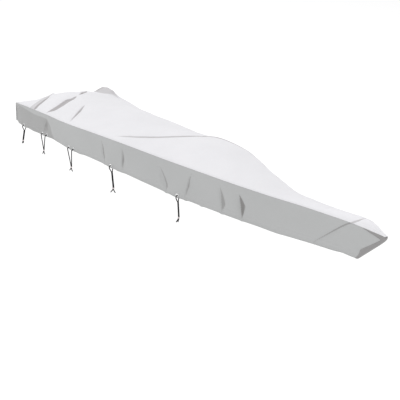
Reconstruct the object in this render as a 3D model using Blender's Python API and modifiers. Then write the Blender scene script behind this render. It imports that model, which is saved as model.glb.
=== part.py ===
"""Fitted cover for an open motor boat.

A top panel is draped over the open boat: it peaks over the aft seats, dips amidships, rises again over
the windscreen and runs low over the foredeck. Two side skirts, a transom skirt and a stem patch are sewn
round its edge. Brass eyelets along the hem hold short ties, each drawn together by a slider.

Metres, +X to the bow, +Y to port, +Z up. The origin is at the boat that holds the cover up, touching the
underside of the top amidships on the centreline.
"""

import math

import bmesh
import bpy
import numpy as np
from mathutils import Matrix

# ---- driving dimensions, metres ------------------------------------------------------------------------
LENGTH = 5.80
HALF_LENGTH = LENGTH / 2
CLOTH = 0.0025
SEAM_GAP = 0.0010
SEAM_FLAP = 0.012  # the top panel turns down this far inside the skirts
CORNER_GAP = 0.0011  # between the transom skirt and the ends of the side skirts
PATCH_GAP = 0.0012
NOSE_BULGE = 0.010
NOSE_SKIRT_END = 0.004  # the side skirts end this far aft of the last station, under the patch
NOSE_PULL = 0.022  # the stem's head is rounded back this far at the seam
NOSE_PULL_FADES = 0.07  # as a part of the stem's depth
STEM_FULL = 0.020  # and the stem below it is this full
STEM_FULL_FROM = 0.10
STEM_BEGINS = 2.70
FLAP_FOLLOWS = 0.8  # how much of that the turned-down edge of the top takes
TRANSOM_RAKE = 0.004
TRANSOM_DIP = 0.030  # how much lower the hem is in the middle of the transom

EYELET_OUTER = 0.020
EYELET_INNER = 0.010
EYELET_BARREL = 0.0112
EYELET_FLANGE = 0.0012
EYELET_CLEARANCE = 0.0009
EYELET_FLAT = 0.026  # half of the flat square of cloth around an eyelet
EYELET_ABOVE_HEM = 0.027
EYELET_SIDES = 12
CORD_SEAT = 0.0033  # the cord bears on the eyelet's lower edge, this far below its middle

CORD = 0.012
CORD_BEND = 0.0245
CORD_EXIT = 0.0008  # how far outside an eyelet's flange the cord begins to bend
CORD_CLOSES = math.radians(25)  # how steeply the two strands of a loop close on each other
TRANSOM_ROWS = (0.010, 0.063, 0.30, 0.55, 0.80, 1.0)
TRANSOM_RIPPLE = 0.010
SLIDER_WALL = 0.0035
SLIDER_HEIGHT = 0.015
SLIDER_STANDS_OFF = 0.004
CLOSEST_POINTS = 0.006
LONGEST_STRAIGHT = 0.090
SLIDER_CLEARANCE = 0.0004
STRAND_SPACING = CORD + 0.0006
EYELET_LEAD = CLOTH / 2 + EYELET_CLEARANCE + EYELET_FLANGE + CORD_EXIT  # from the cloth's middle

# One row for each cross-section, from the transom to the stem: where it is, half the beam at the seam, the
# seam's height, how far the top rises above the seam on the centreline, how full the section is (1 is a
# tent, 3 is a box), the depth of the skirt, and how far its hem lies aft of the seam and inboard of it.
SECTION_COLUMNS = ("x", "half_beam", "seam_z", "crown", "fullness", "drop", "rake", "tuck")
SECTIONS = (
    (-2.900, 0.845, -0.177, 0.075, 2.0, 0.275, -0.004, 0.025),
    (-2.755, 0.871, -0.168, 0.090, 2.1, 0.308, -0.002, 0.026),
    (-2.610, 0.886, -0.163, 0.165, 2.3, 0.319, 0.000, 0.027),
    (-2.320, 0.905, -0.158, 0.270, 2.6, 0.325, 0.000, 0.028),
    (-2.030, 0.915, -0.159, 0.310, 2.7, 0.323, 0.000, 0.028),
    (-1.740, 0.920, -0.162, 0.288, 2.2, 0.312, 0.000, 0.028),
    (-1.450, 0.917, -0.174, 0.262, 1.7, 0.315, 0.000, 0.028),
    (-1.160, 0.910, -0.177, 0.247, 1.5, 0.330, 0.000, 0.028),
    (-0.580, 0.870, -0.180, 0.230, 1.35, 0.342, 0.000, 0.030),
    (0.000, 0.795, -0.198, 0.2005, 1.35, 0.363, 0.002, 0.035),
    (0.290, 0.741, -0.214, 0.223, 1.5, 0.373, 0.008, 0.038),
    (0.580, 0.675, -0.233, 0.243, 1.8, 0.384, 0.016, 0.040),
    (0.870, 0.592, -0.253, 0.217, 2.0, 0.384, 0.030, 0.042),
    (1.160, 0.490, -0.280, 0.155, 2.0, 0.386, 0.049, 0.044),
    (1.450, 0.378, -0.306, 0.085, 1.9, 0.385, 0.073, 0.044),
    (1.740, 0.270, -0.326, 0.035, 1.8, 0.383, 0.102, 0.042),
    (2.030, 0.184, -0.334, 0.036, 1.8, 0.383, 0.136, 0.036),
    (2.320, 0.122, -0.342, 0.048, 1.8, 0.366, 0.158, 0.028),
    (2.610, 0.074, -0.352, 0.064, 1.9, 0.346, 0.194, 0.020),
    (2.755, 0.052, -0.366, 0.064, 2.0, 0.326, 0.216, 0.014),
    (2.870, 0.030, -0.377, 0.019, 2.0, 0.314, 0.233, 0.008),
    (2.900, 0.022, -0.381, 0.005, 2.0, 0.310, 0.236, 0.005),
)

# Where the grid of the top panel has its cross-sections.
STATIONS = tuple(float(x) for x in np.linspace(-HALF_LENGTH, 2.61, 47)) + (2.685, 2.755, 2.815, 2.870, 2.900)
ACROSS = 18

# Broad folds of the top: from a point to a point (x, y), how high (a trough is negative) and how wide.
FOLD_COLUMNS = ("x0", "y0", "x1", "y1", "height", "width")
TOP_FOLDS = (
    (-2.24, -0.90, -2.22, -0.56, 0.016, 0.11),
    (-1.80, -0.90, -1.85, -0.42, -0.017, 0.11),
    (-1.26, -0.88, -1.54, -0.46, -0.013, 0.10),
    (-0.32, -0.74, 0.42, -0.08, -0.013, 0.11),
    (-2.18, 0.14, -1.88, 0.28, 0.098, 0.19),
    (-1.60, 0.86, -1.78, 0.40, -0.015, 0.11),
    (-0.20, 0.74, 0.40, 0.12, -0.012, 0.11),
)

# Upright pinches of a skirt: where along it, from and to which part of its depth, how deep, how wide and
# how far its foot would lie forward of its head on a skirt as deep as it is tall.
PINCH_COLUMNS = ("x", "from_v", "to_v", "depth", "width", "lean")
STARBOARD_PINCHES = (
    (-1.86, 0.22, 0.84, 0.014, 0.060, -0.06),
    (-0.47, 0.20, 0.90, 0.014, 0.050, 0.09),
    (-0.12, 0.14, 0.92, 0.014, 0.050, 0.02),
    (0.50, 0.28, 0.92, 0.018, 0.060, 0.18),
    (0.84, 0.14, 0.92, 0.014, 0.050, -0.06),
    (1.25, 0.20, 0.92, 0.020, 0.060, 0.12),
    (1.47, 0.24, 0.94, 0.024, 0.065, 0.13),
    (2.46, 0.10, 0.99, 0.008, 0.050, -0.17),
)
PORT_PINCHES = (
    (-1.70, 0.16, 0.90, 0.016, 0.060, -0.04),
    (-0.70, 0.18, 0.88, 0.014, 0.050, 0.06),
    (0.20, 0.16, 0.90, 0.016, 0.055, 0.05),
    (0.98, 0.20, 0.92, 0.016, 0.055, -0.06),
    (1.38, 0.20, 0.92, 0.020, 0.060, 0.10),
)

# The aft end of a skirt lies closer to the hull below and aft of a soft edge.
TUCKED_IN = 0.012
TUCKED_BELOW = 0.20
TUCKED_AFT_OF = -1.70

# Ties along a side, each through one eyelet or two: where the eyelets are, how far the slider hangs below
# them and forward of them, and for each of its two tails how long it is and how many degrees it leans
# forward.
TIE_COLUMNS = ("name", "eyelets", "hang", "lean", "tails")
TIES = (
    ("1", (-2.570,), 0.240, 0.002, ((0.044, -30), (0.036, -10))),
    ("2", (-1.940, -1.812), 0.235, 0.008, ((0.052, -32), (0.054, 52))),
    ("3", (-1.200, -1.095), 0.250, 0.042, ((0.050, -36), (0.052, 52))),
    ("4", (-0.333,), 0.260, 0.094, ((0.062, -38), (0.056, 55))),
    ("5", (0.710,), 0.246, 0.066, ((0.054, -24), (0.048, -6))),
)

SIDES = (("starboard", -1.0, STARBOARD_PINCHES), ("port", 1.0, PORT_PINCHES))

# Rows of a skirt's grid, as parts of its depth. The last rows leave a flat band for the eyelets.
SKIRT_ROWS = (0.009, 0.085, 0.24, 0.45, 0.66, 0.832, 1.0)

# Rows of the stem patch: the part of the depth, and how far it reaches along each side of the stem.
PATCH_ROWS = (
    (0.010, 0.245),
    (0.085, 0.115),
    (0.140, 0.038),
    (0.240, 0.047),
    (0.450, 0.064),
    (0.660, 0.083),
    (0.832, 0.046),
    (0.995, 0.030),
)
PATCH_NOSE = (0.0, 0.009, 0.017, 0.0235)
PATCH_WINGS = (0.2, 0.45, 0.72, 1.0)


# ---- the shape of the cover ----------------------------------------------------------------------------
SECTION_X = np.array([row[0] for row in SECTIONS])


def section(name, x):
    """A column of SECTIONS at x, by a smooth curve through its rows."""
    values = np.array([row[SECTION_COLUMNS.index(name)] for row in SECTIONS])
    slopes = np.gradient(values, SECTION_X)
    x = np.clip(np.asarray(x, float), SECTION_X[0], SECTION_X[-1])
    i = np.clip(np.searchsorted(SECTION_X, x) - 1, 0, len(SECTION_X) - 2)
    step = SECTION_X[i + 1] - SECTION_X[i]
    s = (x - SECTION_X[i]) / step
    start = (1 + 2 * s) * (1 - s) ** 2 * values[i] + s * (1 - s) ** 2 * step * slopes[i]
    end = s * s * (3 - 2 * s) * values[i + 1] + s * s * (s - 1) * step * slopes[i + 1]
    return start + end


def along_stations(name, x):
    """A column of SECTIONS at x, straight between the stations, as the faces of the top panel are."""
    return np.interp(x, STATIONS, section(name, np.array(STATIONS)))


def soft_tent(u, fullness):
    """Height of a section, 1 on the centreline and 0 at the seams, with a rounded ridge."""
    ridge = 0.14
    u = (np.sqrt(u * u + ridge * ridge) - ridge) / (math.sqrt(1 + ridge * ridge) - ridge)
    return 1 - np.clip(u, 0, 1) ** fullness


def fold_height(x, y, folds):
    """Sum of the broad folds at a point of the top."""
    total = np.zeros(np.broadcast(x, y).shape)
    for x0, y0, x1, y1, height, width in folds:
        run = math.hypot(x1 - x0, y1 - y0)
        dx, dy = (x1 - x0) / run, (y1 - y0) / run
        along = ((x - x0) * dx + (y - y0) * dy) / run
        off = ((y - y0) * dx - (x - x0) * dy) / width
        fade = np.clip(np.minimum(along, 1 - along) / 0.35 + 0.35, 0, 1)
        total = total + height * np.exp(-2 * off * off) * fade * fade * (3 - 2 * fade)
    return total


def top_z(x, u):
    """Height of the top at x, u being -1 at the starboard seam and 1 at the port one."""
    y = u * section("half_beam", x)
    z = section("seam_z", x) + section("crown", x) * soft_tent(u, section("fullness", x))
    edge = np.clip((1 - np.abs(u)) / 0.12, 0, 1)
    return z + edge * fold_height(x, y, TOP_FOLDS)


def smooth_step(value):
    value = min(max(value, 0.0), 1.0)
    return value * value * (3 - 2 * value)


def stem_offset(x, v):
    """How far forward of a straight stem the skirt lies: back at the head of the stem, full below it."""
    reach = HALF_LENGTH - STEM_BEGINS
    near = np.interp(x, STATIONS, [smooth_step((at - STEM_BEGINS) / reach) for at in STATIONS])
    full = STEM_FULL * (1 - v) * (1 - math.exp(-v / STEM_FULL_FROM))
    return float(near) * (full - NOSE_PULL * math.exp(-v / NOSE_PULL_FADES))


def drawn_in(x, v, pinches):
    """How far the skirt is drawn in at a point of it, by its pinches and at its aft end. It is even round
    the eyelets."""
    total = 0.0
    for at, start, end, depth, width, lean in pinches:
        middle = (start + end) / 2
        centre = at + lean * (v - middle)
        reach = min(max((v - start) / (middle - start), 0), 1) * min(max((end - v) / (end - middle), 0), 1)
        total += depth * math.exp(-2 * ((x - centre) / width) ** 2) * math.sqrt(reach)
    for _, eyelets, _, _, _ in TIES:
        for at in eyelets:
            total *= 1 - smooth_step((0.10 - abs(x - at)) / 0.06) * smooth_step((v - 0.55) / 0.25)
    edge = TUCKED_AFT_OF + 0.20 * (v - 0.5)
    below = smooth_step((v - TUCKED_BELOW) / 0.2 + 0.5)
    return total + TUCKED_IN * below * smooth_step((edge - x) / 0.16 + 0.5)


def hem_wave(x):
    """The hem droops a little at each tie and rises between them."""
    droop = 0.0
    for _, eyelets, _, _, _ in TIES:
        at = sum(eyelets) / len(eyelets)
        droop += 0.012 * math.exp(-(((x - at) / (0.10 + 0.4 * (eyelets[-1] - eyelets[0]))) ** 2))
    return droop - 0.004


def side_point(x, v, side, pinches=(), outward=0.0, wave=True):
    """A point of a side skirt, v being the part of its depth below the seam. It is straight between the
    stations, so that it stays parallel to the edge of the top."""
    x = float(x)
    stations = np.array(STATIONS)
    halves = section("half_beam", stations)
    i = int(np.clip(np.searchsorted(stations, x) - 1, 0, len(stations) - 2))
    normals = []
    for j in (i - 1, i, i + 1):
        if 0 <= j < len(stations) - 1:
            ahead = np.array([halves[j] - halves[j + 1], stations[j + 1] - stations[j]])
            normals.append((j, ahead / np.linalg.norm(ahead)))
    normal = dict(normals)[i]
    for j, other in normals:
        shared = stations[max(i, j)]
        if j != i and abs(x - shared) < 1e-9:
            middle = normal + other
            normal = middle / (middle @ normal)
    depth = float(along_stations("drop", x))
    if wave:
        depth += hem_wave(x) * v ** 3
    outward = outward - drawn_in(x, v, pinches)
    px = x - float(along_stations("rake", x)) * v + stem_offset(x, v) + normal[0] * outward
    py = float(along_stations("half_beam", x)) - float(along_stations("tuck", x)) * v + normal[1] * outward
    pz = float(along_stations("seam_z", x)) - depth * v
    return (px, side * py, pz)


# ---- tools ---------------------------------------------------------------------------------------------
def start_scene():
    for old in list(bpy.data.objects):
        bpy.data.objects.remove(old, do_unlink=True)
    group = bpy.data.collections.new("boat_cover")
    bpy.context.scene.collection.children.link(group)
    return group


def material(name, colour, roughness, metallic=0.0):
    made = bpy.data.materials.new(name)
    made.use_nodes = True
    shader = made.node_tree.nodes["Principled BSDF"]
    shader.inputs["Base Color"].default_value = (*colour, 1.0)
    shader.inputs["Roughness"].default_value = roughness
    shader.inputs["Metallic"].default_value = metallic
    return made


def add_object(name, data, group, finish, smooth=True):
    made = bpy.data.objects.new(name, data)
    group.objects.link(made)
    data.materials.append(finish)
    if smooth and isinstance(data, bpy.types.Mesh):
        data.shade_smooth()
    return made


def hole_faces(grid, corners, centre, forward, down, radius):
    """Faces between the four corners of a flat cell and a round hole in it. The corners come in the order
    aft and up, fore and up, fore and down, aft and down."""
    ring = []
    for k in range(EYELET_SIDES):
        angle = 2 * math.pi * (k + 0.5) / EYELET_SIDES
        ring.append(grid.verts.new(centre + radius * (forward * math.cos(angle) + down * math.sin(angle))))
    quarter = EYELET_SIDES // 4
    order = (corners[2], corners[3], corners[0], corners[1])
    for q, corner in enumerate(order):
        first = q * quarter
        for k in range(first, first + quarter - 1):
            grid.faces.new((corner, ring[k], ring[k + 1]))
        last, after = ring[first + quarter - 1], ring[(first + quarter) % EYELET_SIDES]
        grid.faces.new((corner, last, after, order[(q + 1) % 4]))


def sheet_mesh(name, rows, facing, holes=()):
    """A mesh of quads through a grid of points, its faces turned to the side that `facing` points to. A
    hole is (row, column, centre, forward, down, radius), the row and column of the cell that it is in."""
    grid = bmesh.new()
    made = [[grid.verts.new(point) for point in row] for row in rows]
    cut = {(hole[0], hole[1]): hole[2:] for hole in holes}
    for r, (upper, lower) in enumerate(zip(made, made[1:])):
        for c in range(len(upper) - 1):
            corners = (upper[c], upper[c + 1], lower[c + 1], lower[c])
            if (r, c) in cut:
                hole_faces(grid, corners, *cut[(r, c)])
            else:
                grid.faces.new(corners)
    bmesh.ops.recalc_face_normals(grid, faces=grid.faces)
    grid.normal_update()
    total = sum(face.normal.dot(facing) * face.calc_area() for face in grid.faces)
    if total < 0:
        bmesh.ops.reverse_faces(grid, faces=grid.faces)
    mesh = bpy.data.meshes.new(name)
    grid.to_mesh(mesh)
    grid.free()
    return mesh


def thicken(made):
    """Gives a sheet the cloth's thickness, on the side away from its normals."""
    solid = made.modifiers.new("cloth thickness", "SOLIDIFY")
    solid.thickness = CLOTH
    solid.offset = -1.0
    solid.use_even_offset = True
    return made


def frame_at(x, side, pinches):
    """Where an eyelet goes: its centre in the middle of the cloth, and the cloth's outward, forward and
    downward directions there."""
    drop = float(along_stations("drop", x))
    v = 1.0 - EYELET_ABOVE_HEM / drop
    step = EYELET_FLAT
    skin = SEAM_GAP + CLOTH
    low, high = SKIRT_ROWS[-2], SKIRT_ROWS[-1]
    corners = [
        np.array(side_point(x + dx, part, side, pinches, skin))
        for dx, part in ((-step, low), (step, low), (step, high), (-step, high))
    ]
    forward = corners[1] + corners[2] - corners[0] - corners[3]
    down = corners[3] + corners[2] - corners[0] - corners[1]
    forward /= np.linalg.norm(forward)
    normal = np.cross(down, forward) * side
    normal /= np.linalg.norm(normal)
    if normal[1] * side < 0:
        normal = -normal
    down = np.cross(forward, normal) * side
    down /= np.linalg.norm(down)
    if down[2] > 0:
        down = -down
    part = (v - low) / (high - low)
    upper = (corners[0] + corners[1]) / 2
    lower = (corners[3] + corners[2]) / 2
    centre = upper + (lower - upper) * part - normal * CLOTH / 2
    return centre, normal, forward, down


def place(made, centre, x_axis, y_axis, z_axis):
    matrix = np.eye(4)
    matrix[:3, 0], matrix[:3, 1], matrix[:3, 2], matrix[:3, 3] = x_axis, y_axis, z_axis, centre
    made.matrix_world = Matrix(matrix.tolist())


# ---- the sewn panels -----------------------------------------------------------------------------------
def build_top(group, finish):
    """The top panel, with its edge turned down inside the skirts all round."""
    columns = [2 * j / ACROSS - 1 for j in range(ACROSS + 1)]
    made = bmesh.new()
    grid = []
    for x in STATIONS:
        row = []
        for u in columns:
            bulge = NOSE_BULGE * (1 - u * u) if x == STATIONS[-1] else 0.0
            half = float(section("half_beam", x))
            ahead = bulge + stem_offset(x, 0.0)
            row.append(made.verts.new((x + ahead, u * half, float(top_z(x, u)))))
        grid.append(row)
    for aft, fore in zip(grid, grid[1:]):
        for a, b, c, d in zip(aft, aft[1:], fore[1:], fore):
            made.faces.new((a, d, c, b))
    rim = [(row[0], x) for row, x in zip(grid, STATIONS)]
    rim += [(vert, STATIONS[-1]) for vert in grid[-1][1:]]
    rim += [(row[-1], x) for row, x in zip(grid[:-1], STATIONS)][::-1]
    rim += [(vert, STATIONS[0]) for vert in grid[0][1:-1]][::-1]
    below = []
    for vert, at in rim:
        x, y, z = vert.co
        side = -1.0 if y < 0 else 1.0
        part = SEAM_FLAP / float(along_stations("drop", at))
        ahead = FLAP_FOLLOWS * (stem_offset(at, part) - stem_offset(at, 0.0))
        rake = float(along_stations("rake", at)) * part - ahead
        if abs(at - STATIONS[0]) < 1e-9 and abs(y) < float(section("half_beam", at)) - 1e-6:
            tuck, fall = 0.0, SEAM_FLAP
        else:
            tuck, fall = float(along_stations("tuck", at)) * part, SEAM_FLAP
        if at == STATIONS[-1] and abs(y) < float(section("half_beam", at)) - 1e-6:
            tuck = 0.0
        below.append(made.verts.new((x - rake, y - side * tuck, z - fall)))
    for i, (vert, _) in enumerate(rim):
        j = (i + 1) % len(rim)
        made.faces.new((vert, rim[j][0], below[j], below[i]))
    bmesh.ops.recalc_face_normals(made, faces=made.faces)
    made.normal_update()
    centre = min(made.faces, key=lambda face: face.calc_center_median().length)
    if centre.normal.z < 0:
        bmesh.ops.reverse_faces(made, faces=made.faces)
    mesh = bpy.data.meshes.new("top_panel")
    made.to_mesh(mesh)
    made.free()
    return thicken(add_object("top_panel", mesh, group, finish))


def skirt_columns(pinches):
    """Where a side skirt's grid has its columns: at the stations, at its pinches and round its eyelets."""
    end = STATIONS[-1] - NOSE_SKIRT_END
    found = [x for x in STATIONS if x < end - 0.01] + [end]
    for at, _, _, _, width, _ in pinches:
        found += [at - width * 0.7, at, at + width * 0.7]
    eyelets = [at for _, places, _, _, _ in TIES for at in places]
    found = [x for x in found if all(abs(x - at) > EYELET_FLAT + 0.006 for at in eyelets)]
    for at in eyelets:
        found += [at - EYELET_FLAT, at + EYELET_FLAT]
    kept = []
    for x in sorted(found):
        if not kept or x - kept[-1] > 0.012 or x > 2.8:
            kept.append(x)
    return kept


def build_side_skirt(name, side, pinches, group, finish):
    columns = skirt_columns(pinches)
    skin = SEAM_GAP + CLOTH
    rows = [[side_point(x, v, side, pinches, skin) for x in columns] for v in SKIRT_ROWS]
    holes = []
    for _, places, _, _, _ in TIES:
        for at in places:
            centre, normal, forward, down = frame_at(at, side, pinches)
            column = min(range(len(columns)), key=lambda c: abs(columns[c] - (at - EYELET_FLAT)))
            face = centre + normal * CLOTH / 2
            holes.append((len(rows) - 2, column, face, forward, down, EYELET_BARREL + EYELET_CLEARANCE))
    mesh = sheet_mesh(name, rows, (0, side, 0), holes)
    return thicken(add_object(name, mesh, group, finish))


def build_transom_skirt(group, finish):
    """The skirt across the stern, between the ends of the side skirts."""
    half = float(section("half_beam", STATIONS[0])) + SEAM_GAP + CLOTH
    crown = float(section("crown", STATIONS[0]))
    fullness = float(section("fullness", STATIONS[0]))
    seam = float(section("seam_z", STATIONS[0]))
    drop = float(section("drop", STATIONS[0]))
    tuck = float(section("tuck", STATIONS[0]))
    rows = []
    for v in TRANSOM_ROWS:
        row = []
        for j in range(ACROSS + 1):
            u = 2 * j / ACROSS - 1
            rise = crown * float(soft_tent(np.array(u), fullness))
            low = seam - drop - TRANSOM_DIP * (1 - u ** 6)
            high = seam + rise
            ripple = TRANSOM_RIPPLE * math.sin(9.0 * u + 0.6) * (1 - u * u) * v if v > 0.1 else 0.0
            z = high - (high - low) * v
            fall = (seam + rise - z) / drop
            x = STATIONS[0] + TRANSOM_RAKE * fall - CORNER_GAP - CLOTH - abs(ripple)
            row.append((x, u * (half - tuck * v), z))
        rows.append(row)
    mesh = sheet_mesh("skirt_transom", rows, (-1, 0, 0))
    return thicken(add_object("skirt_transom", mesh, group, finish))


def build_stem_patch(group, finish):
    """The patch sewn round the stem over the ends of both side skirts."""
    last = STATIONS[-1]
    tip = float(section("half_beam", last))
    rake, tuck = float(section("rake", last)), float(section("tuck", last))
    lift = SEAM_GAP + CLOTH + PATCH_GAP + CLOTH
    rows = []
    for v, reach in PATCH_ROWS:
        away = list(PATCH_NOSE) + [PATCH_NOSE[-1] + (reach - PATCH_NOSE[-1]) * part for part in PATCH_WINGS]
        row = []
        for side, distances in ((-1.0, away[:0:-1]), (1.0, away)):
            for distance in distances:
                if distance >= tip:
                    row.append(side_point(last - (distance - tip), v, side, (), lift, wave=False))
                    continue
                u = distance / tip
                bulge = NOSE_BULGE * (1 - u * u) + lift
                z = float(section("seam_z", last)) - float(section("drop", last)) * v
                y = side * u * (tip + lift - tuck * v)
                row.append((last + bulge - rake * v + stem_offset(last, v), y, z))
        rows.append(row)
    mesh = sheet_mesh("stem_patch", rows, (1, 0, 0))
    return thicken(add_object("stem_patch", mesh, group, finish))


# ---- eyelets, ties and sliders ---------------------------------------------------------------------------
def build_eyelet(name, centre, normal, forward, group, finish):
    """A two-flanged brass eyelet through the hem, turned on a lathe."""
    inner = CLOTH / 2 + EYELET_CLEARANCE
    outer = inner + EYELET_FLANGE
    profile = (
        (EYELET_INNER, -outer),
        (EYELET_OUTER, -outer),
        (EYELET_OUTER, -inner),
        (EYELET_BARREL, -inner),
        (EYELET_BARREL, inner),
        (EYELET_OUTER, inner),
        (EYELET_OUTER, outer),
        (EYELET_INNER, outer),
    )
    ring = bmesh.new()
    verts = [ring.verts.new((radius, 0, height)) for radius, height in profile]
    for a, b in zip(verts, verts[1:] + verts[:1]):
        ring.edges.new((a, b))
    mesh = bpy.data.meshes.new(name)
    ring.to_mesh(mesh)
    ring.free()
    made = add_object(name, mesh, group, finish, smooth=False)
    turn = made.modifiers.new("lathe", "SCREW")
    turn.angle = 2 * math.pi
    turn.steps = 12
    turn.render_steps = 12
    turn.use_merge_vertices = True
    turn.merge_threshold = 0.00001
    turn.use_normal_calculate = True
    turn.use_normal_flip = True
    place(made, centre, forward, np.cross(normal, forward), normal)
    return made


def arc(centre, start, end, steps):
    """Points of a quarter turn about centre, from the direction `start` to the direction `end`."""
    made = []
    for i in range(steps + 1):
        angle = math.pi / 2 * i / steps
        made.append(centre + start * math.cos(angle) + end * math.sin(angle))
    return made


def tail_points(start, down, forward, length, degrees):
    """A free end from `start`, where it hangs straight down, curving by so many degrees towards
    `forward`. The far end comes last."""
    swing = math.radians(abs(degrees))
    aside = forward if degrees > 0 else -forward
    made = [start]
    for angle in (swing / 2, swing):
        made.append(start + CORD_BEND * (aside * (1 - math.cos(angle)) + down * math.sin(angle)))
    rest = max(length - CORD_BEND * swing, CORD)
    made.append(made[-1] + rest * (aside * math.sin(swing) + down * math.cos(swing)))
    return made


def closing_points(front, side_way, hang_way):
    """One strand of a loop, from its widest point to where it runs beside the other, CORD_BEND being its
    tightest bend. `front` is where it leaves the eyelet and `side_way` points away from the other."""
    turn, bend = CORD_CLOSES, CORD_BEND
    outer = front + hang_way * bend * (1 + math.sin(turn)) + side_way * bend * math.cos(turn)
    lead = EYELET_LEAD + bend * (2 * math.cos(turn) - 1) - STRAND_SPACING / 2
    inner = outer - side_way * lead + hang_way * lead / math.tan(turn)
    last = inner - side_way * bend * (1 - math.cos(turn)) + hang_way * bend * math.sin(turn)
    return [outer, inner, last]


def tie_points(frames, hang, lean, tails):
    """The middle line of a tie, and where its slider is with the way between its two strands."""
    bend = CORD_BEND
    first, last = frames[0], frames[-1]
    normal = (first[1] + last[1]) / 2
    forward = (first[2] + last[2]) / 2
    down = np.array([0.0, 0.0, -1.0])
    middle = (first[0] + last[0]) / 2
    slider = middle + down * hang + forward * lean + normal * SLIDER_STANDS_OFF
    pair = len(frames) == 2
    apart = forward if pair else normal
    half = SLIDER_HEIGHT / 2 + 0.004
    strands = []
    for way, (length, degrees) in zip((-1, 1) if pair else (1, -1), tails):
        gate = slider + way * apart * STRAND_SPACING / 2
        tail = tail_points(gate + down * half, down, forward, length, degrees)
        strands.append(tail[::-1] + [gate, gate - down * half])
    points = list(strands[0])
    for index, (centre, out, ahead, _) in enumerate(frames):
        hang_way = slider - centre - out * float((slider - centre) @ out)
        hang_way /= np.linalg.norm(hang_way)
        seat = centre + hang_way * CORD_SEAT
        front, back = seat + out * EYELET_LEAD, seat - out * EYELET_LEAD
        outer = arc(front + hang_way * bend, out * bend, -hang_way * bend, 2)
        if not pair:
            points += closing_points(front, out, hang_way)[::-1] + outer
            points += arc(back + hang_way * bend, -hang_way * bend, -out * bend, 2)
            points += closing_points(back, -out, hang_way)
            break
        sideways = ahead if index == 0 else -ahead
        inner = arc(back + sideways * bend, -sideways * bend, -out * bend, 2)
        run = outer + inner if index == 0 else inner[::-1] + outer[::-1]
        if index == 1:
            points.append((points[-1] + run[0]) / 2)
        points += run
    points += strands[1][::-1]
    return spaced(points), slider, apart, normal


def spaced(points):
    """The same line with points on its long straights and without points that are too close together."""
    kept = [points[0]]
    for point in points[1:]:
        gap = float(np.linalg.norm(point - kept[-1]))
        if gap < CLOSEST_POINTS:
            continue
        pieces = max(1, round(gap / LONGEST_STRAIGHT))
        for k in range(1, pieces + 1):
            kept.append(kept[-1] + (point - kept[-1]) / (pieces - k + 1))
    return kept


def build_tie(name, points, group, finish):
    curve = bpy.data.curves.new(name, "CURVE")
    curve.dimensions = "3D"
    curve.bevel_depth = CORD / 2
    curve.bevel_resolution = 2
    curve.use_fill_caps = True
    spline = curve.splines.new("POLY")
    spline.points.add(len(points) - 1)
    for target, point in zip(spline.points, points):
        target.co = (*point, 1.0)
    return add_object(name, curve, group, finish)


def build_slider(name, centre, apart, normal, group, finish):
    """The small block that both strands of a tie run through, with one long hole."""
    reach = STRAND_SPACING / 2
    hole = CORD / 2 + SLIDER_CLEARANCE
    made = bmesh.new()
    rings = []
    for radius in (hole, hole + SLIDER_WALL):
        for z in (-SLIDER_HEIGHT / 2, SLIDER_HEIGHT / 2):
            ring = []
            for k in range(12):
                angle = 2 * math.pi * (k + 0.5) / 12
                shift = reach if math.cos(angle) > 0 else -reach
                wide = radius / math.cos(math.pi / 12)
                ring.append(made.verts.new((shift + wide * math.cos(angle), wide * math.sin(angle), z)))
            rings.append(ring)
    inner_low, inner_high, outer_low, outer_high = rings
    walls = ((inner_high, inner_low), (outer_low, outer_high))
    walls += ((inner_low, outer_low), (outer_high, inner_high))
    for lower, upper in walls:
        for k in range(12):
            m = (k + 1) % 12
            made.faces.new((lower[k], lower[m], upper[m], upper[k]))
    bmesh.ops.recalc_face_normals(made, faces=made.faces)
    mesh = bpy.data.meshes.new(name)
    made.to_mesh(mesh)
    made.free()
    block = add_object(name, mesh, group, finish, smooth=False)
    up = np.array([0.0, 0.0, 1.0])
    across = apart - up * float(apart @ up)
    across = across / np.linalg.norm(across)
    place(block, centre, across, np.cross(up, across), up)
    return block


def main():
    group = start_scene()
    light_cloth = material("light grey cloth", (0.84, 0.84, 0.86), 0.75)
    grey_cloth = material("grey cloth", (0.47, 0.48, 0.48), 0.8)
    dark_cloth = material("dark grey cloth", (0.30, 0.29, 0.29), 0.8)
    metal = material("plated brass", (0.80, 0.79, 0.76), 0.3, 1.0)
    cord = material("black braid", (0.015, 0.015, 0.017), 0.8)
    plastic = material("off-white plastic", (0.75, 0.68, 0.68), 0.45)

    build_top(group, light_cloth)
    for word, side, pinches in SIDES:
        build_side_skirt("skirt_" + word, side, pinches, group, grey_cloth)
    build_transom_skirt(group, grey_cloth)
    build_stem_patch(group, dark_cloth)
    for word, side, pinches in SIDES:
        for number, places, hang, lean, tails in TIES:
            frames = [frame_at(at, side, pinches) for at in places]
            for letter, (centre, normal, forward, _) in zip("ab", frames):
                name = f"eyelet_{word}_{number}" + (letter if len(frames) == 2 else "")
                build_eyelet(name, centre, normal, forward, group, metal)
            points, slider, apart, normal = tie_points(frames, hang, lean, tails)
            build_tie(f"tie_{word}_{number}", points, group, cord)
            build_slider(f"slider_{word}_{number}", slider, apart, normal, group, plastic)


main()
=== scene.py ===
"""Looks of the boat cover: cloth panels with their folds, hems and stitching, plated eyelets, braided ties
and their sliders, on a pale floor in soft light.

The shape is the CAD model's: +X to the bow, +Y to port, +Z up, metres.
"""

from math import copysign, cos, hypot, pi, radians, sin, sqrt, tan

import bmesh
import bpy
import numpy as np
from mathutils import Matrix, Vector


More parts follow.
